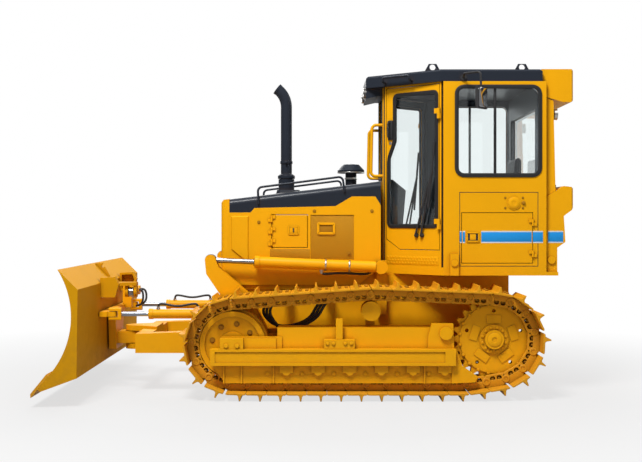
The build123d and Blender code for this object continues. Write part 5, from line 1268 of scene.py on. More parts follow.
@dataclass
class LinkageDress:
    """Glands, clamps and hoses on the blade's cylinders, and the bolts of the cutting edge."""

    lift_rear: Point = (-0.614, 0.560, 1.100)
    lift_eye: Point = (0.896, 0.560, 1.165)
    lift_end: float = 1.117
    lift_size: float = 0.049
    lift_rod: float = 0.023
    angle_end: Point = (1.445, 0.540, 0.686)
    angle_size: float = 0.042
    angle_rod: float = 0.021
    tilt_end: Point = (1.700, -0.130, 0.845)
    tilt_size: float = 0.040
    tilt_rod: float = 0.020
    edge_seat: tuple[float, float] = (2.1854, 0.2176)
    edge_out: tuple[float, float] = (0.777, 0.629)
    edge_half: float = 1.300
    edge_bolts: int = 17
    edge_bolt: Steps = ((0.020, -0.002), (0.019, 0.003), (0.014, 0.007), (0.006, 0.009))
    lift_clamps: Sequence[float] = (0.275, 0.486)
    lift_hose: Steps = (
        (0.530, 0.046), (0.530, 0.080), (0.490, 0.080), (0.400, 0.068), (0.280, 0.064), (0.180, 0.068),
    )
    lift_port: Steps = ((0.020, 0.0), (0.020, 0.012), (0.014, 0.014), (0.014, 0.034))
    angle_ports: Sequence[float] = (0.080, 0.430)
    angle_port: Steps = ((0.018, 0.0), (0.018, 0.010), (0.013, 0.012), (0.013, 0.026), (0.009, 0.028))

    def build(self, bench: Bench) -> None:
        """Model the trim of each cylinder and of the cutting edge.

        Args:
            bench: the modelling steps.
        """
        for side in Side:
            self._lift(bench, side)
            self._angle(bench, side)
        self._tilt(bench)
        self._edge(bench)

    def _lift(self, bench: Bench, side: Side) -> None:
        """Model a lift cylinder's gland, clamps and hose.

        Args:
            bench: the modelling steps.
            side: the cylinder's side.
        """
        rear = Vector(self.lift_rear) * side.flip
        along = (Vector(self.lift_eye) * side.flip - rear).normalized()
        body = f"lift_barrel_{side.word}"
        sizes = (self.lift_size + 0.006, self.lift_rod + 0.0012, 0.046)
        gland = bench.ring(f"lift_gland_{side.word}", rear + along * (self.lift_end - 0.040), along, sizes)
        bench.dress(gland, "yellow_paint", body)
        wiper = (self.lift_rod + 0.012, self.lift_rod + 0.001, 0.010)
        ring = bench.ring(f"lift_wiper_{side.word}", rear + along * (self.lift_end + 0.004), along, wiper)
        bench.dress(ring, "window_rubber", body)
        clamps = []
        for distance in self.lift_clamps:
            band = (self.lift_size + 0.004, self.lift_size - 0.001, 0.014)
            clamps.append(bench.ring("clamp", rear + along * distance, along, band))
        bench.dress(bench.joined(f"lift_clamps_{side.word}", clamps), "plated_steel", body)
        low = Vector((0.0, 0.0, -1.0))
        points = [rear + along * distance + low * drop for distance, drop in self.lift_hose]
        points.append(rear + along * 0.090 + Vector((0.0, -0.030 * side.value, -0.060)))
        points.append(rear + along * 0.075 + Vector((0.0, -0.062 * side.value, -0.020)))
        bench.dress(bench.hose(f"lift_hose_{side.word}", points, 0.011), "hose_rubber", body, ROUND)
        place = rear + along * 0.530 + low * 0.044
        port = bench.turned(f"lift_port_{side.word}", place, low, self.lift_port, 12)
        bench.dress(port, "plated_steel", body)

    def _angle(self, bench: Bench, side: Side) -> None:
        """Model an angle cylinder's gland and its two hose ports.

        Args:
            bench: the modelling steps.
            side: the cylinder's side.
        """
        end = Vector(self.angle_end) * side.flip
        body = f"angle_barrel_{side.word}"
        along = Vector((1.0, 0.0, 0.0))
        sizes = (self.angle_size + 0.005, self.angle_rod + 0.0012, 0.040)
        gland = bench.ring(f"angle_gland_{side.word}", end - along * 0.036, along, sizes)
        bench.dress(gland, "yellow_paint", body)
        ports = []
        for back in self.angle_ports:
            place = end - along * back + Vector((0.0, 0.0, self.angle_size - 0.003))
            ports.append(bench.turned("port", place, UP, self.angle_port, 12))
        bench.dress(bench.joined(f"angle_ports_{side.word}", ports), "plated_steel", body)
        top = self.angle_size + 0.024
        points = [end + Vector((-back, 0.0, rise)) for back, rise in (
            (0.080, top - 0.010), (0.080, top + 0.020), (0.120, top + 0.026), (0.250, top - 0.004),
            (0.390, top + 0.026), (0.430, top + 0.020), (0.430, top - 0.010))]
        bench.dress(bench.hose(f"angle_hose_{side.word}", points, 0.010), "hose_rubber", body, ROUND)

    def _tilt(self, bench: Bench) -> None:
        """Model the tilt cylinder's gland and the hoses that drop from it to the yoke."""
        end = Vector(self.tilt_end)
        along = Vector((0.0, 1.0, 0.0))
        sizes = (self.tilt_size + 0.005, self.tilt_rod + 0.0012, 0.030)
        gland = bench.ring("tilt_gland", end - along * 0.027, along, sizes)
        bench.dress(gland, "yellow_paint", "blade_yoke")
        hoses = []
        for back, reach in ((0.050, 0.045), (0.150, 0.060)):
            start = end - along * back + Vector((-self.tilt_size + 0.004, 0.0, 0.010))
            hoses.append(bench.hose("tilt_hose", [
                start, start + Vector((-reach * 0.6, 0.0, 0.004)), start + Vector((-reach, 0.0, -0.040)),
                start + Vector((-reach, 0.02, -0.110)), start + Vector((-0.020, 0.03, -0.150)),
                start + Vector((0.020, 0.03, -0.152))], 0.010))
        bench.dress(bench.joined("tilt_hoses", hoses), "hose_rubber", "blade_yoke", ROUND)

    def _edge(self, bench: Bench) -> None:
        """Model the row of bolts along the cutting edge."""
        step = 2.0 * self.edge_half / (self.edge_bolts - 1)
        axis = Vector((self.edge_out[0], 0.0, self.edge_out[1]))
        pattern = bench.turned("edge_bolt", ORIGIN, axis, self.edge_bolt, 16)
        places = [
            Matrix.Translation((self.edge_seat[0], -self.edge_half + index * step, self.edge_seat[1]))
            for index in range(self.edge_bolts)
        ]
        bench.dress(bench.joined("edge_bolts", bench.copies(pattern, places)), "plated_steel", "blade")


@dataclass
class HoodDress:
    """The hood's fasteners, latches, clamps and the pipe mouth."""

    side_y: float = 0.470
    door_y: float = 0.470
    stack_x: float = 0.245
    stack_size: float = 0.052
    stack_clamp_z: float = 2.046
    collar_z: float = 1.937
    cleaner_x: float = -0.361
    cleaner_z: float = 1.958
    mouth: Point = (0.325, 0.0, 2.745)
    mouth_way: Point = (0.786, 0.0, 0.618)
    screen_y: float = 0.462
    screen: Bounds = (0.012, -0.373, 1.168, 1.564)
    low_screen: Bounds = (0.376, 0.020, 1.168, 1.262)
    pull: Bounds = (-0.208, -0.044, 1.390, 1.498)
    panel_bolts: Steps = ((0.476, 1.500), (-0.021, 1.600), (-0.536, 1.600), (-0.330, 1.220))
    latch: Bounds = (0.118, 0.214, 1.388, 1.470)
    shoulder: Steps = ((0.070, 0.0), (0.068, 0.010), (0.056, 0.018))
    lip: Steps = (
        (0.0525, -0.012), (0.0545, -0.010), (0.0545, 0.010), (0.048, 0.010), (0.046, 0.002), (0.004, 0.002),
    )
    # a near-black disc in the pipe's mouth: sooty black, and painted shade of the open pipe
    soot: Steps = ((0.0455, 0.0015), (0.0455, 0.003), (0.004, 0.003))

    def build(self, bench: Bench) -> None:
        """Model the trim of the hood's sides and of what stands on it.

        Args:
            bench: the modelling steps.
        """
        for side in Side:
            self._side(bench, side)
            self._screen(bench, side)
        self._stack(bench)

    def _side(self, bench: Bench, side: Side) -> None:
        """Model one side's bolts and its engine door's latch.

        Args:
            bench: the modelling steps.
            side: the hood's side.
        """
        word, body = side.word, f"engine_door_{side.word}"
        places = [(x, side.value * self.side_y, z) for x, z in self.panel_bolts]
        bench.dress(bench.bolts(f"hood_bolts_{word}", places, side.out, 0.011, 0.008), "nut_paint")
        x0, x1, z0, z1 = self.latch
        face = side.value * self.door_y
        corners = bench.rect(face, *self.latch)
        frame = bench.band(f"latch_frame_{word}", corners, side.out * 0.007, 0.012, 0.010)
        bench.dress(frame, "yellow_paint", body)
        inner = bench.rect(face, *self.latch, 0.014)
        paddle = bench.panel(f"latch_paddle_{word}", inner, side.out * 0.005, 0.006, 0.002)
        bench.dress(paddle, "yellow_paint", body)
        middle = (x0 + x1) / 2.0
        near, far = sorted((face + 0.004 * side.value, face + 0.009 * side.value))
        low, high = (middle - 0.006, near, z0 + 0.022), (middle + 0.006, far, z1 - 0.022)
        slot = bench.block(f"latch_slot_{word}", low, high, 0.002)
        bench.dress(slot, "dark_plastic", body)

    def _screen(self, bench: Bench, side: Side) -> None:
        """Model the holed sheet in one side's recess and the pull on it.

        Args:
            bench: the modelling steps.
            side: the hood's side.
        """
        word, face = side.word, side.value * self.screen_y
        low_face = side.value * (self.side_y - BITE)
        for name, y, bounds in (("screen", face, self.screen), ("low_screen", low_face, self.low_screen)):
            corners = bench.rect(y, *bounds)
            sheet = bench.panel(f"{name}_{word}", corners, side.out * 0.002, 0.010, 0.0006)
            bench.dress(sheet, "screen_paint")
        corners = bench.rect(face, *self.pull)
        frame = bench.band(f"pull_frame_{word}", corners, side.out * 0.012, 0.022, 0.016, 0.004)
        bench.dress(frame, "yellow_paint")
        inner = bench.rect(face, *self.pull, 0.021)
        cup = bench.panel(f"pull_cup_{word}", inner, side.out * 0.004, 0.004, 0.001)
        bench.dress(cup, "nut_paint")

    def _stack(self, bench: Bench) -> None:
        """Model the exhaust's clamp, collar and mouth, with a near-black disc in the mouth that is partly
        painted shade, and the pre-cleaner's band.
        """
        size, low = self.stack_size, self.stack_clamp_z
        foot = Vector((self.stack_x, 0.0, low))
        bench.dress(bench.ring("stack_clamp", foot, UP, (size + 0.006, size - 0.001, 0.026)), "dark_paint")
        near = (self.stack_x - 0.010, size, low + 0.003)
        far = (self.stack_x + 0.010, size + 0.024, low + 0.023)
        bench.dress(bench.block("stack_clamp_lug", near, far, 0.003), "dark_paint")
        rim = Vector((self.stack_x, 0.0, self.collar_z - 0.030))
        bench.dress(bench.ring("stack_collar", rim, UP, (0.080, 0.072, 0.030)), "dark_paint")
        top = (self.stack_x, 0.0, self.collar_z - 0.002)
        for name, place, way, steps, sides, finish in (
            ("stack_shoulder", top, UP, self.shoulder, 28, "dark_paint"),
            ("stack_mouth", self.mouth, self.mouth_way, self.lip, 32, "dark_paint"),
            ("stack_soot", self.mouth, self.mouth_way, self.soot, 32, "window_rubber"),
        ):
            bench.dress(bench.turned(name, place, way, steps, sides), finish)
        for name, drop, sizes, sides in (
            ("cleaner_band", 0.0, (0.1265, 0.116, 0.012), 40),
            ("cleaner_clip", 0.060, (0.058, 0.051, 0.020), 32),
        ):
            place = Vector((self.cleaner_x, 0.0, self.cleaner_z - drop))
            bench.dress(bench.ring(name, place, UP, sizes, sides), "plated_steel")


@dataclass
class CabDress:
    """The cab's seals, door furniture, wipers, stripe, lamps and caps."""

    side_y: float = 0.800
    side_window: Bounds = (-1.236, -1.990, 1.890, 2.690)
    divider_x: float = -1.586
    seal: float = 0.035
    shield_x: float = -0.640
    shield: tuple[float, float, float] = (0.277, 1.887, 2.668)
    rear_x: float = -2.028
    rear: tuple[float, float, float] = (0.615, 1.817, 2.514)
    door_corner: tuple[float, float] = (-0.640, 0.350)
    door_way: tuple[float, float] = (-0.742, 0.670)
    door_window: Bounds = (0.053, 0.618, 1.448, 2.652)
    door_step: tuple[float, float, float] = (0.068, 2.074, 2.227)
    handle: Bounds = (0.062, 0.118, 2.240, 2.415)
    stripe_z: tuple[float, float] = (1.321, 1.425)
    stripe_edge: float = 0.010
    stripe_skin: float = 0.0008
    hatch_x: tuple[float, float] = (-1.300, -1.905)
    latch: Bounds = (-1.450, -1.335, 1.328, 1.418)
    tank_y: float = 0.760
    fuel_cap: Point = (-2.128, 0.560, 1.772)
    panel: Bounds = (-1.276, -1.958, 1.118, 1.762)
    seam: float = 0.006
    round_cap: tuple[float, float] = (-1.748, 1.668)
    roof_corner: tuple[float, float] = (-0.490, 0.310)
    roof_way: tuple[float, float] = (-0.786, 0.618)
    roof_rail: Bounds = (0.216, 0.500, 2.745, 2.788)
    mirror_at: Point = (-1.440, 0.985, 2.558)
    mirror_way: tuple[float, float] = (0.643, 0.766)
    tread: Bounds = (0.040, 0.620, 1.122, 1.202)
    lock: Steps = ((0.014, 0.0), (0.014, 0.004), (0.011, 0.006), (0.004, 0.006))
    pivot: Steps = ((0.020, 0.0), (0.020, 0.014), (0.014, 0.020), (0.010, 0.030))
    knob: Steps = (
        (0.050, -0.001), (0.050, 0.003), (0.047, 0.005), (0.020, 0.005), (0.018, 0.003), (0.004, 0.003),
    )
    keeper: Steps = ((0.015, -0.001), (0.015, 0.010), (0.011, 0.014), (0.005, 0.014))
    stud: Steps = ((0.012, -0.001), (0.011, 0.001), (0.005, 0.003))
    stud_step: float = 0.0324
    stud_rise: float = 0.024
    filler: Steps = (
        (0.024, -0.020), (0.024, 0.022), (0.034, 0.024), (0.036, 0.030), (0.036, 0.054), (0.031, 0.062),
        (0.010, 0.064),
    )
    lamp_rim: Steps = (
        (0.046, -0.004), (0.048, 0.010), (0.050, 0.020), (0.046, 0.024), (0.040, 0.024), (0.030, 0.004),
        (0.010, -0.002),
    )
    lamp_bulge: Steps = ((0.041, 0.016), (0.041, 0.022), (0.030, 0.026), (0.012, 0.028))
    lamps: Sequence[Point] = (
        (-0.492, 0.190, 2.682), (-0.492, -0.190, 2.682), (-2.116, 0.710, 2.440), (-2.116, -0.710, 2.440),
    )

    def build(self, bench: Bench) -> None:
        """Model every piece of the cab's trim.

        Args:
            bench: the modelling steps.
        """
        self._fixed_seals(bench)
        for side in Side:
            self._side_seal(bench, side)
            self._door(bench, side)
            self._wiper(bench, side)
            self._stripe(bench, side)
            self._latch(bench, side)
            self._seam(bench, side)
            self._round_cap(bench, side)
            self._roof_rail(bench, side)
            self._mirror(bench, side)
            self._tread(bench, side)
        self._lamps(bench)
        self._cap(bench)

    def _on_door(self, side: Side, along: float, z: float, out: float = 0.0) -> Vector:
        """A point on a door's outer face.

        Args:
            side: the door's side.
            along: the distance from the cab's front corner.
            z: the height.
            out: the distance outwards from the face.

        Returns:
            The point in the machine's frame.
        """
        x = self.door_corner[0] + along * self.door_way[0] + out * self.door_way[1]
        y = self.door_corner[1] + along * self.door_way[1] - out * self.door_way[0]
        return Vector((x, side.value * y, z))

    def _door_push(self, side: Side, depth: float) -> Vector:
        """The way out of a door's face, as long as depth."""
        return Vector((self.door_way[1], -side.value * self.door_way[0], 0.0)) * depth

    def _fixed_seals(self, bench: Bench) -> None:
        """Model the seals of the windshield and the rear window."""
        for name, x, (half, low, high), way in (
            ("shield_seal", self.shield_x, self.shield, 1.0), ("rear_seal", self.rear_x, self.rear, -1.0),
        ):
            x -= BITE * way
            corners = [(x, -half, low), (x, half, low), (x, half, high), (x, -half, high)]
            seal = bench.band(name, corners, (0.008 * way, 0.0, 0.0), 0.030, 0.050)
            bench.dress(seal, "window_rubber")

    def _side_seal(self, bench: Bench, side: Side) -> None:
        """Model a side window's seal and the upright bar between its panes.

        Args:
            bench: the modelling steps.
            side: the window's side.
        """
        _, _, low, high = self.side_window
        corners = bench.rect(side.value * (self.side_y - BITE), *self.side_window)
        seal = bench.band(f"window_seal_{side.word}", corners, side.out * 0.009, self.seal, 0.080, 0.003)
        bench.dress(seal, "window_rubber")
        inner, outer = sorted((side.value * 0.7815, side.value * 0.792))
        bar = bench.block(
            f"window_bar_{side.word}", (self.divider_x - 0.012, inner, low + 0.030),
            (self.divider_x + 0.012, outer, high - 0.030), 0.003,
        )
        bench.dress(bar, "window_rubber")

    def _door(self, bench: Bench, side: Side) -> None:
        """Model a door's window seal, handle and lock.

        Args:
            bench: the modelling steps.
            side: the door's side.
        """
        body = f"cab_door_{side.word}"
        left, right, low, high = self.door_window
        step, step_low, step_high = self.door_step
        outline = (
            (left, low), (right, low), (right, high), (left + step, high), (left + step, step_high),
            (left, step_low),
        )
        corners = [self._on_door(side, along, z, -BITE) for along, z in outline]
        seal = bench.band(f"door_seal_{side.word}", corners, self._door_push(side, 0.009), 0.034, 0.050)
        bench.dress(seal, "window_rubber", body)
        along0, along1, low, high = self.handle
        corners = [
            self._on_door(side, along, z, -BITE)
            for along, z in ((along0, low), (along1, low), (along1, high), (along0, high))
        ]
        plate = bench.panel(f"handle_plate_{side.word}", corners, self._door_push(side, 0.012), 0.012, 0.003)
        bench.dress(plate, "dark_plastic", body)
        middle = (along0 + along1) / 2.0
        route = (
            (low + 0.022, 0.008), (low + 0.022, 0.036), (low + 0.034, 0.040), (high - 0.034, 0.040),
            (high - 0.022, 0.036), (high - 0.022, 0.008),
        )
        points = [self._on_door(side, middle, z, out) for z, out in route]
        grip = bench.hose(f"handle_grip_{side.word}", points, 0.008)
        bench.dress(grip, "dark_plastic", body, ROUND)
        place = self._on_door(side, middle, low - 0.030, -BITE)
        lock = bench.turned(f"door_lock_{side.word}", place, self._door_push(side, 1.0), self.lock, 20)
        bench.dress(lock, "plated_steel", body)

    def _wiper(self, bench: Bench, side: Side) -> None:
        """Model the twin-arm wiper of a door's window.

        Args:
            bench: the modelling steps.
            side: the door's side.
        """
        body = f"cab_door_{side.word}"
        arms = []
        for along, target in ((0.385, (0.545, 1.880)), (0.445, (0.562, 1.930))):
            pivot = self._on_door(side, along, 1.385, -BITE)
            arms.append(bench.turned("wiper_pivot", pivot, self._door_push(side, 1.0), self.pivot, 16))
            start = self._on_door(side, along, 1.385, 0.024)
            arms.append(bench.rod("wiper_arm", start, self._on_door(side, *target, 0.022), 0.009, 12))
        for name, low, high, out, radius, sides in (
            ("wiper_blade", (0.523, 1.620), (0.588, 2.200), 0.016, 0.010, 10),
            ("wiper_lip", (0.523, 1.630), (0.588, 2.190), 0.008, 0.004, 6),
            ("wiper_yoke", (0.540, 1.865), (0.566, 1.945), 0.020, 0.011, 10),
        ):
            ends = self._on_door(side, *low, out), self._on_door(side, *high, out)
            arms.append(bench.rod(name, *ends, radius, sides))
        bench.dress(bench.joined(f"wiper_{side.word}", arms), "dark_plastic", body)

    def _stripe(self, bench: Bench, side: Side) -> None:
        """Model the plain blue stripe with pale edges along the lower panel, the hatch and the tank.

        Args:
            bench: the modelling steps.
            side: the cab's side.
        """
        front, rear = self.hatch_x
        hatch = f"side_hatch_{side.word}"
        runs = (
            ("stripe_front", -1.280, front + 0.004, self.side_y, "chassis"),
            ("stripe_latch", front - 0.004, -1.325, self.side_y, hatch),
            ("stripe_hatch", -1.465, rear + 0.004, self.side_y, hatch),
            ("stripe_wall", rear - 0.006, -1.998, self.side_y, "chassis"),
            ("stripe_tank", -2.050, -2.182, self.tank_y, "chassis"),
        )
        low, high = self.stripe_z
        edge = self.stripe_edge
        for name, x0, x1, y, body in runs:
            face = side.value * (y + 0.0002)
            for part, z0, z1, finish in (
                ("blue", low + edge, high - edge, "stripe_blue"),
                ("low", low, low + edge, "stripe_pale"),
                ("high", high - edge, high, "stripe_pale"),
            ):
                corners = bench.rect(face, x0, x1, z0, z1)
                skin = side.out * self.stripe_skin
                strip = bench.panel(f"{name}_{part}_{side.word}", corners, skin, 0.0, 0.0002)
                bench.dress(strip, finish, body)

    def _latch(self, bench: Bench, side: Side) -> None:
        """Model a side hatch's latch: a raised frame, a dark cup and its paddle.

        Args:
            bench: the modelling steps.
            side: the hatch's side.
        """
        x0, x1, z0, z1 = self.latch
        body, face = f"side_hatch_{side.word}", side.value * self.side_y
        corners = bench.rect(face, *self.latch)
        frame = bench.band(f"hatch_latch_{side.word}", corners, side.out * 0.008, 0.014, 0.012)
        bench.dress(frame, "yellow_paint", body)
        corners = bench.rect(face, *self.latch, 0.013)
        cup = bench.panel(f"hatch_cup_{side.word}", corners, side.out * 0.002, 0.006, 0.0005)
        bench.dress(cup, "dark_plastic", body)
        middle = (x0 + x1) / 2.0
        corners = bench.rect(face, middle - 0.026, middle + 0.026, z0 + 0.020, z1 - 0.020)
        paddle = bench.panel(f"hatch_paddle_{side.word}", corners, side.out * 0.006, 0.005, 0.002)
        bench.dress(paddle, "yellow_paint", body)

    def _seam(self, bench: Bench, side: Side) -> None:
        """Model a near-black strip in the groove round the lower side panel, painted shade of the groove's
        gap.

        Args:
            bench: the modelling steps.
            side: the panel's side.
        """
        corners = bench.rect(side.value * (self.side_y - 0.0055), *self.panel)
        strip = bench.band(f"panel_seam_{side.word}", corners, side.out * 0.005, self.seam, 0.0, 0.001)
        # the strip takes the rubber's near-black colour as painted shade of the groove
        bench.dress(strip, "window_rubber")

    def _round_cap(self, bench: Bench, side: Side) -> None:
        """Model the screws round the cap on the lower side panel, its knob and its keeper.

        Args:
            bench: the modelling steps.
            side: the cap's side.
        """
        (x, z), word, face = self.round_cap, side.word, side.value * self.side_y
        places = [(x + dx, face, z + dz) for dx in (-0.076, 0.076) for dz in (-0.044, 0.044)]
        bench.dress(bench.bolts(f"cap_screws_{word}", places, side.out, 0.007, 0.007), "nut_paint")
        front = (x, side.value * (self.side_y + 0.006), z)
        bench.dress(bench.turned(f"cap_knob_{word}", front, side.out, self.knob, 32), "yellow_paint")
        keeper = bench.turned(f"cap_keeper_{word}", (x - 0.082, face, z), side.out, self.keeper, 18)
        bench.dress(keeper, "nut_paint")

    def _roof_rail(self, bench: Bench, side: Side) -> None:
        """Model the bent hand rail on the slanted side of the roof.

        Args:
            bench: the modelling steps.
            side: the rail's side.
        """
        first, last, low, high = self.roof_rail

        def at(along: float, z: float, out: float) -> Vector:
            """A point beside the roof's slanted edge."""
            x = self.roof_corner[0] + along * self.roof_way[0] + out * self.roof_way[1]
            y = self.roof_corner[1] + along * self.roof_way[1] - out * self.roof_way[0]
            return Vector((x, side.value * y, z))

        points = [
            at(first, low, -0.004), at(first, low, 0.044), at(first + 0.002, high, 0.052),
            at(first + 0.030, high, 0.052), at(last - 0.030, high, 0.052), at(last - 0.002, high, 0.052),
            at(last, low, 0.044), at(last, low, -0.004),
        ]
        rail = bench.hose(f"roof_rail_{side.word}", points, 0.010)
        bench.dress(rail, "dark_paint", smooth=ROUND)

    def _mirror(self, bench: Bench, side: Side) -> None:
        """Model a mirror's moulded back and its glass.

        Args:
            bench: the modelling steps.
            side: the mirror's side.
        """
        along = Vector((self.mirror_way[0], side.value * self.mirror_way[1], 0.0))
        out = Vector((-self.mirror_way[1], side.value * self.mirror_way[0], 0.0))
        middle = Vector(self.mirror_at) * side.flip
        ring = [(-0.066, -0.087), (0.066, -0.087), (0.066, 0.087), (-0.066, 0.087)]
        back = [middle + along * u + UP * v - out * 0.0135 for u, v in ring]
        shell = bench.panel(f"mirror_back_{side.word}", back, out * -0.010, 0.020, 0.004)
        bench.dress(shell, "dark_plastic")
        face = [middle + along * (0.95 * u) + UP * (0.95 * v) + out * 0.0135 for u, v in ring]
        glass = bench.panel(f"mirror_glass_{side.word}", face, out * 0.0025, 0.016, 0.0006)
        bench.dress(glass, "mirror_face")

    def _tread(self, bench: Bench, side: Side) -> None:
        """Model the kick plate under a door, with rows of raised diamonds.

        Args:
            bench: the modelling steps.
            side: the door's side.
        """
        first, last, low, high = self.tread
        ring = ((first, low), (last, low), (last, high), (first, high))
        corners = [self._on_door(side, along, z, -BITE) for along, z in ring]
        plate = bench.panel(f"tread_{side.word}", corners, self._door_push(side, 0.003), 0.008, 0.0008)
        stud = bench.turned("stud", ORIGIN, UP, self.stud, 4)
        turn = self._door_push(side, 1.0).to_track_quat("Z", "Y").to_matrix().to_4x4()
        places = []
        for row in range(3):
            for index in range(17):
                along = first + 0.026 + self.stud_step * (index + 0.5 * (row % 2))
                place = self._on_door(side, along, low + 0.016 + self.stud_rise * row, 0.002)
                places.append(Matrix.Translation(place) @ turn)
        whole = bench.joined(f"tread_{side.word}", [plate, *bench.copies(stud, places)])
        bench.dress(whole, "yellow_paint")

    def _lamps(self, bench: Bench) -> None:
        """Model the work lamps in the roof's front box and on the rear posts."""
        for index, (x, y, z) in enumerate(self.lamps):
            way = (1.0 if index < 2 else -1.0, 0.0, 0.0)
            lamp = bench.turned(f"lamp_shell_{index}", (x, y, z), way, self.lamp_rim, 28)
            bench.dress(lamp, "plated_steel")
            lens = bench.turned(f"lamp_lens_{index}", (x, y, z), way, self.lamp_bulge, 28)
            bench.dress(lens, "lamp_lens")

    def _cap(self, bench: Bench) -> None:
        """Model the fuel filler's cap on the tank's shoulder."""
        bench.dress(bench.turned("fuel_cap", self.fuel_cap, UP, self.filler, 18), "dark_plastic")


@dataclass
class SeatDress:
    """The operator's seat: padded cushions on a bellows base, armrests and the control levers beside it."""

    cushion_low: Point = (-1.850, -0.232, 1.478)
    cushion_high: Point = (-1.412, 0.232, 1.582)
    back: Sequence[tuple[float, float]] = ((-1.826, 1.612), (-1.880, 2.096), (-1.906, 2.096), (-1.900, 1.612))
    back_half: float = 0.226
    voxel: float = 0.006
    frames: int = 20
    pressure: float = 4.0
    cushion_cap: float = 0.022
    back_cap: float = 0.010
    base_x: tuple[float, float] = (-1.800, -1.460)
    base_half: float = 0.200
    base_z: tuple[float, float] = (1.112, 1.440)
    base_folds: int = 6
    shell: Sequence[Point] = (
        (-1.902, -0.215, 1.470), (-1.902, 0.215, 1.470), (-1.909, 0.205, 2.080), (-1.909, -0.205, 2.080),
    )
    console: Steps = ((-1.820, 1.112), (-1.430, 1.112), (-1.430, 1.560), (-1.520, 1.650), (-1.820, 1.650))
    knob: Steps = ((0.009, -0.010), (0.017, 0.004), (0.019, 0.020), (0.015, 0.034), (0.006, 0.040))
    lever_reach: float = 0.025
    fill: float = 0.6

    def build(self, bench: Bench) -> None:
        """Model the seat in place of its plain solid.

        Args:
            bench: the modelling steps.
        """
        cushion = bench.block("seat_cushion", self.cushion_low, self.cushion_high, 0.030)
        self._pad(bench, cushion, self.cushion_cap)
        bench.dress(cushion, "seat_cloth", smooth=ROUND)
        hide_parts("seat")
        corners = [(x, -self.back_half, z) for x, z in self.back]
        rest = bench.panel("seat_back", corners, (0.0, 2.0 * self.back_half, 0.0), 0.008, 0.010)
        self._pad(bench, rest, self.back_cap)
        bench.dress(rest, "seat_cloth", smooth=ROUND)
        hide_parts("seat")
        self._base(bench)
        self._arms(bench)

    def _pad(self, bench: Bench, piece: Piece, cap: float) -> None:
        """Swell a closed form like a stuffed cushion.

        Args:
            bench: the modelling steps.
            piece: the form, a little smaller than the cushion.
            cap: the furthest that a point may move, in metres.
        """
        bench.only(piece)
        piece.data.remesh_voxel_size = self.voxel
        bpy.ops.object.voxel_remesh()
        before = [vertex.co.copy() for vertex in piece.data.vertices]
        cloth = piece.modifiers.new("swell", "CLOTH")
        cloth.settings.use_pressure = True
        cloth.settings.uniform_pressure_force = self.pressure
        cloth.settings.effector_weights.gravity = 0.0
        for frame in range(1, self.frames + 1):
            bpy.context.scene.frame_set(frame)
        bpy.ops.object.modifier_apply(modifier=cloth.name)
        bpy.context.scene.frame_set(1)
        for vertex, start in zip(piece.data.vertices, before):
            move = vertex.co - start
            if move.length > cap:
                vertex.co = start + move * (cap / move.length)
        smooth = piece.modifiers.new("fine", "SUBSURF")
        smooth.levels = smooth.render_levels = 1
        bpy.ops.object.modifier_apply(modifier=smooth.name)

    def _base(self, bench: Bench) -> None:
        """Model the bellows and the pan under the cushion."""
        low, high = self.base_z
        step = (high - low) / self.base_folds
        folds = []
        for index in range(self.base_folds):
            inset = 0.0 if index % 2 else 0.014
            folds.append(bench.block(
                "fold", (self.base_x[0] + inset, -self.base_half + inset, low + index * step),
                (self.base_x[1] - inset, self.base_half - inset, low + (index + 1) * step + 0.002), 0.012,
            ))
        bench.dress(bench.joined("seat_bellows", folds), "hose_rubber")
        pan = bench.block("seat_pan", (-1.855, -0.235, high), (-1.430, 0.235, high + 0.032), 0.012)
        bench.dress(pan, "dark_plastic")
        shell = bench.panel("seat_shell", self.shell, (-0.014, 0.0, 0.0), 0.030, 0.004)
        bench.dress(shell, "dark_plastic")

    def _arms(self, bench: Bench) -> None:
        """Model the side consoles with their armrests and the levers on them."""
        for side in Side:
            inner, outer = sorted((side.value * 0.285, side.value * 0.400))
            corners = [(x, inner, z) for x, z in self.console]
            push = (0.0, outer - inner, 0.0)
            bench.dress(bench.panel(f"side_console_{side.word}", corners, push, 0.020, 0.010), "dark_plastic")
            low, high = (-1.800, inner + 0.010, 1.668), (-1.520, outer - 0.010, 1.722)
            bench.dress(bench.block(f"arm_pad_{side.word}", low, high, 0.018), "hose_rubber")
            low, high = (-1.700, inner + 0.040, 1.640), (-1.620, outer - 0.040, 1.676)
            bench.dress(bench.block(f"arm_post_{side.word}", low, high, 0.004), "plated_steel")
            middle = (inner + outer) / 2.0
            levers = (middle - self.lever_reach, middle + self.lever_reach)
            rods = [bench.rod("lever", (-1.468, y, 1.580), (-1.440, y, 1.740), 0.006, 10) for y in levers]
            bench.dress(bench.joined(f"levers_{side.word}", rods), "chrome_rod")
            lean = (0.17, 0.0, 1.0)
            knobs = [bench.turned("knob", (-1.440, y, 1.735), lean, self.knob, 16) for y in levers]
            bench.dress(bench.joined(f"lever_knobs_{side.word}", knobs), "dark_plastic")


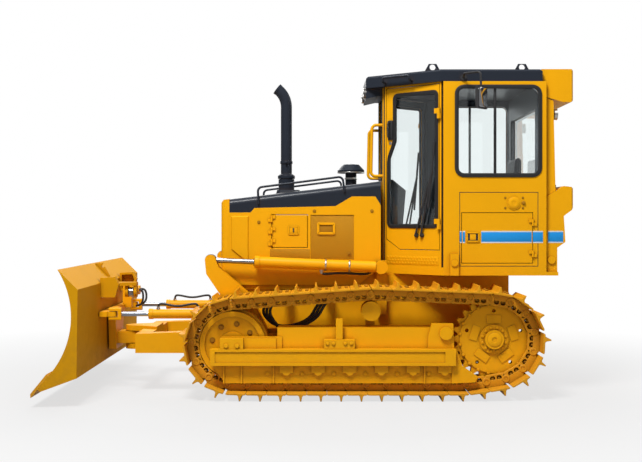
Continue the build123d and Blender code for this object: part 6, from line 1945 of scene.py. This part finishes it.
@dataclass
class Studio:
    """The pale floor, the soft light and the camera at the photograph's angle."""

    camera_at: Point = (-0.080, 10.0, 1.52)
    lens: float = 59.7
    shift_up: float = -11.0 / 642.0
    floor_half: float = 60.0
    floor_grey: float = 0.42
    fill: float = 0.17
    mirrored: float = 0.24
    lamps: tuple[tuple[str, Point, Point, float, float], ...] = (
        ("key_lamp", (2.0, 6.0, 10.4), (-0.2, 0.0, 1.0), 3.0, 1360.0),
        ("side_lamp", (-6.5, 5.0, 4.5), (-0.5, 0.0, 1.2), 4.5, 35.0),
        ("back_lamp", (1.0, -7.0, 6.0), (0.0, 0.0, 1.0), 5.0, 400.0),
        ("rear_lamp", (-7.0, -3.5, 4.0), (-1.5, 0.0, 1.2), 4.0, 150.0),
        ("top_lamp", (0.0, 0.5, 8.5), (0.0, 0.0, 0.0), 6.0, 70.0),
    )

    def build(self) -> None:
        """Set up the view, the world, the floor, the lamps and the camera."""
        bpy.context.scene.view_settings.view_transform = "Standard"
        self._world()
        self._floor()
        for name, place, target, size, power in self.lamps:
            self._lamp(name, Vector(place), Vector(target), size, power)
        self._camera()

    def _seen(self, tree: Tree) -> Socket:
        """How white a surround looks: fully to the camera and through glass, and dimmer in metal.

        Args:
            tree: the tree that the nodes go into.

        Returns:
            The level's socket.
        """
        path = tree.add("ShaderNodeLightPath").outputs
        seen = tree.math("MAXIMUM", path["Is Camera Ray"], path["Is Transmission Ray"])
        return tree.math("MAXIMUM", seen, tree.math("MULTIPLY", path["Is Glossy Ray"], self.mirrored))

    def _world(self) -> None:
        """A white surround that gives a soft light."""
        world = bpy.data.worlds.new("studio")
        bpy.context.scene.world = world
        world.use_nodes = True
        world.node_tree.nodes.clear()
        tree = Tree(world.node_tree)
        level = tree.math("MAXIMUM", self._seen(tree), self.fill)
        white = tree.add("ShaderNodeBackground", Color=WHITE, Strength=level)
        tree.add("ShaderNodeOutputWorld", Surface=white.outputs[0])

    def _floor(self) -> None:
        """A wide pale floor that keeps the machine's soft shadow."""
        bpy.ops.object.select_all(action="DESELECT")
        bpy.ops.mesh.primitive_plane_add(size=2.0 * self.floor_half, location=(0.0, 0.0, -0.001))
        floor = bpy.context.object
        floor.name = "studio_floor"
        bpy.ops.object.transform_apply(location=True, rotation=True, scale=True)
        material, tree, shader, place = blank("floor_white")
        tree.fill(shader, Base_Color=(self.floor_grey, self.floor_grey, self.floor_grey, 1.0), Roughness=0.9)
        glow = tree.add("ShaderNodeEmission", Color=WHITE, Strength=1.0)
        reach = tree.add("ShaderNodeVectorMath", {"operation": "LENGTH"})
        tree.feed(reach.inputs[0], place)
        away = reach.outputs["Value"]
        far = tree.add("ShaderNodeMapRange", Value=away, From_Min=2.6, From_Max=6.0, To_Min=0.70)
        share = tree.math("MULTIPLY", self._seen(tree), far.outputs["Result"])
        tree.cover(share, shader.outputs["BSDF"], glow.outputs["Emission"])
        floor.data.materials.append(material)

    @staticmethod
    def _lamp(name: str, place: Vector, target: Vector, size: float, power: float) -> None:
        """Add one square soft lamp.

        Args:
            name: the lamp's name.
            place: where it hangs.
            target: what it points at.
            size: its side in metres.
            power: its watts.
        """
        lamp = bpy.data.lights.new(name, "AREA")
        lamp.size = size
        lamp.energy = power
        lamp_object = bpy.data.objects.new(name, lamp)
        bpy.context.scene.collection.objects.link(lamp_object)
        lamp_object.location = place
        lamp_object.rotation_euler = (target - place).to_track_quat("-Z", "Y").to_euler()

    def _camera(self) -> None:
        """Add the camera, level and square to the machine's left side."""
        lens = bpy.data.cameras.new("photo_camera")
        lens.lens = self.lens
        lens.sensor_width = 36.0
        lens.shift_y = self.shift_up
        lens.clip_end = 300.0
        camera = bpy.data.objects.new("photo_camera", lens)
        bpy.context.scene.collection.objects.link(camera)
        camera.location = self.camera_at
        camera.rotation_euler = (math.radians(90.0), 0.0, math.radians(180.0))
        bpy.context.scene.camera = camera


def main() -> None:
    """Load the frame, dress it, and set up the studio."""
    logging.basicConfig(level=logging.INFO, format="%(name)s: %(message)s")
    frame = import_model()
    finishes = Finishes()
    finishes.dress_nodes(frame)
    bench = Bench(finishes)
    for side in Side:
        TrackDress(side).build(bench)
        UndercarriageDress(side).build(bench)
    LinkageDress().build(bench)
    HoodDress().build(bench)
    CabDress().build(bench)
    SeatDress().build(bench)
    Studio().build()


if __name__ == "__main__":
    main()
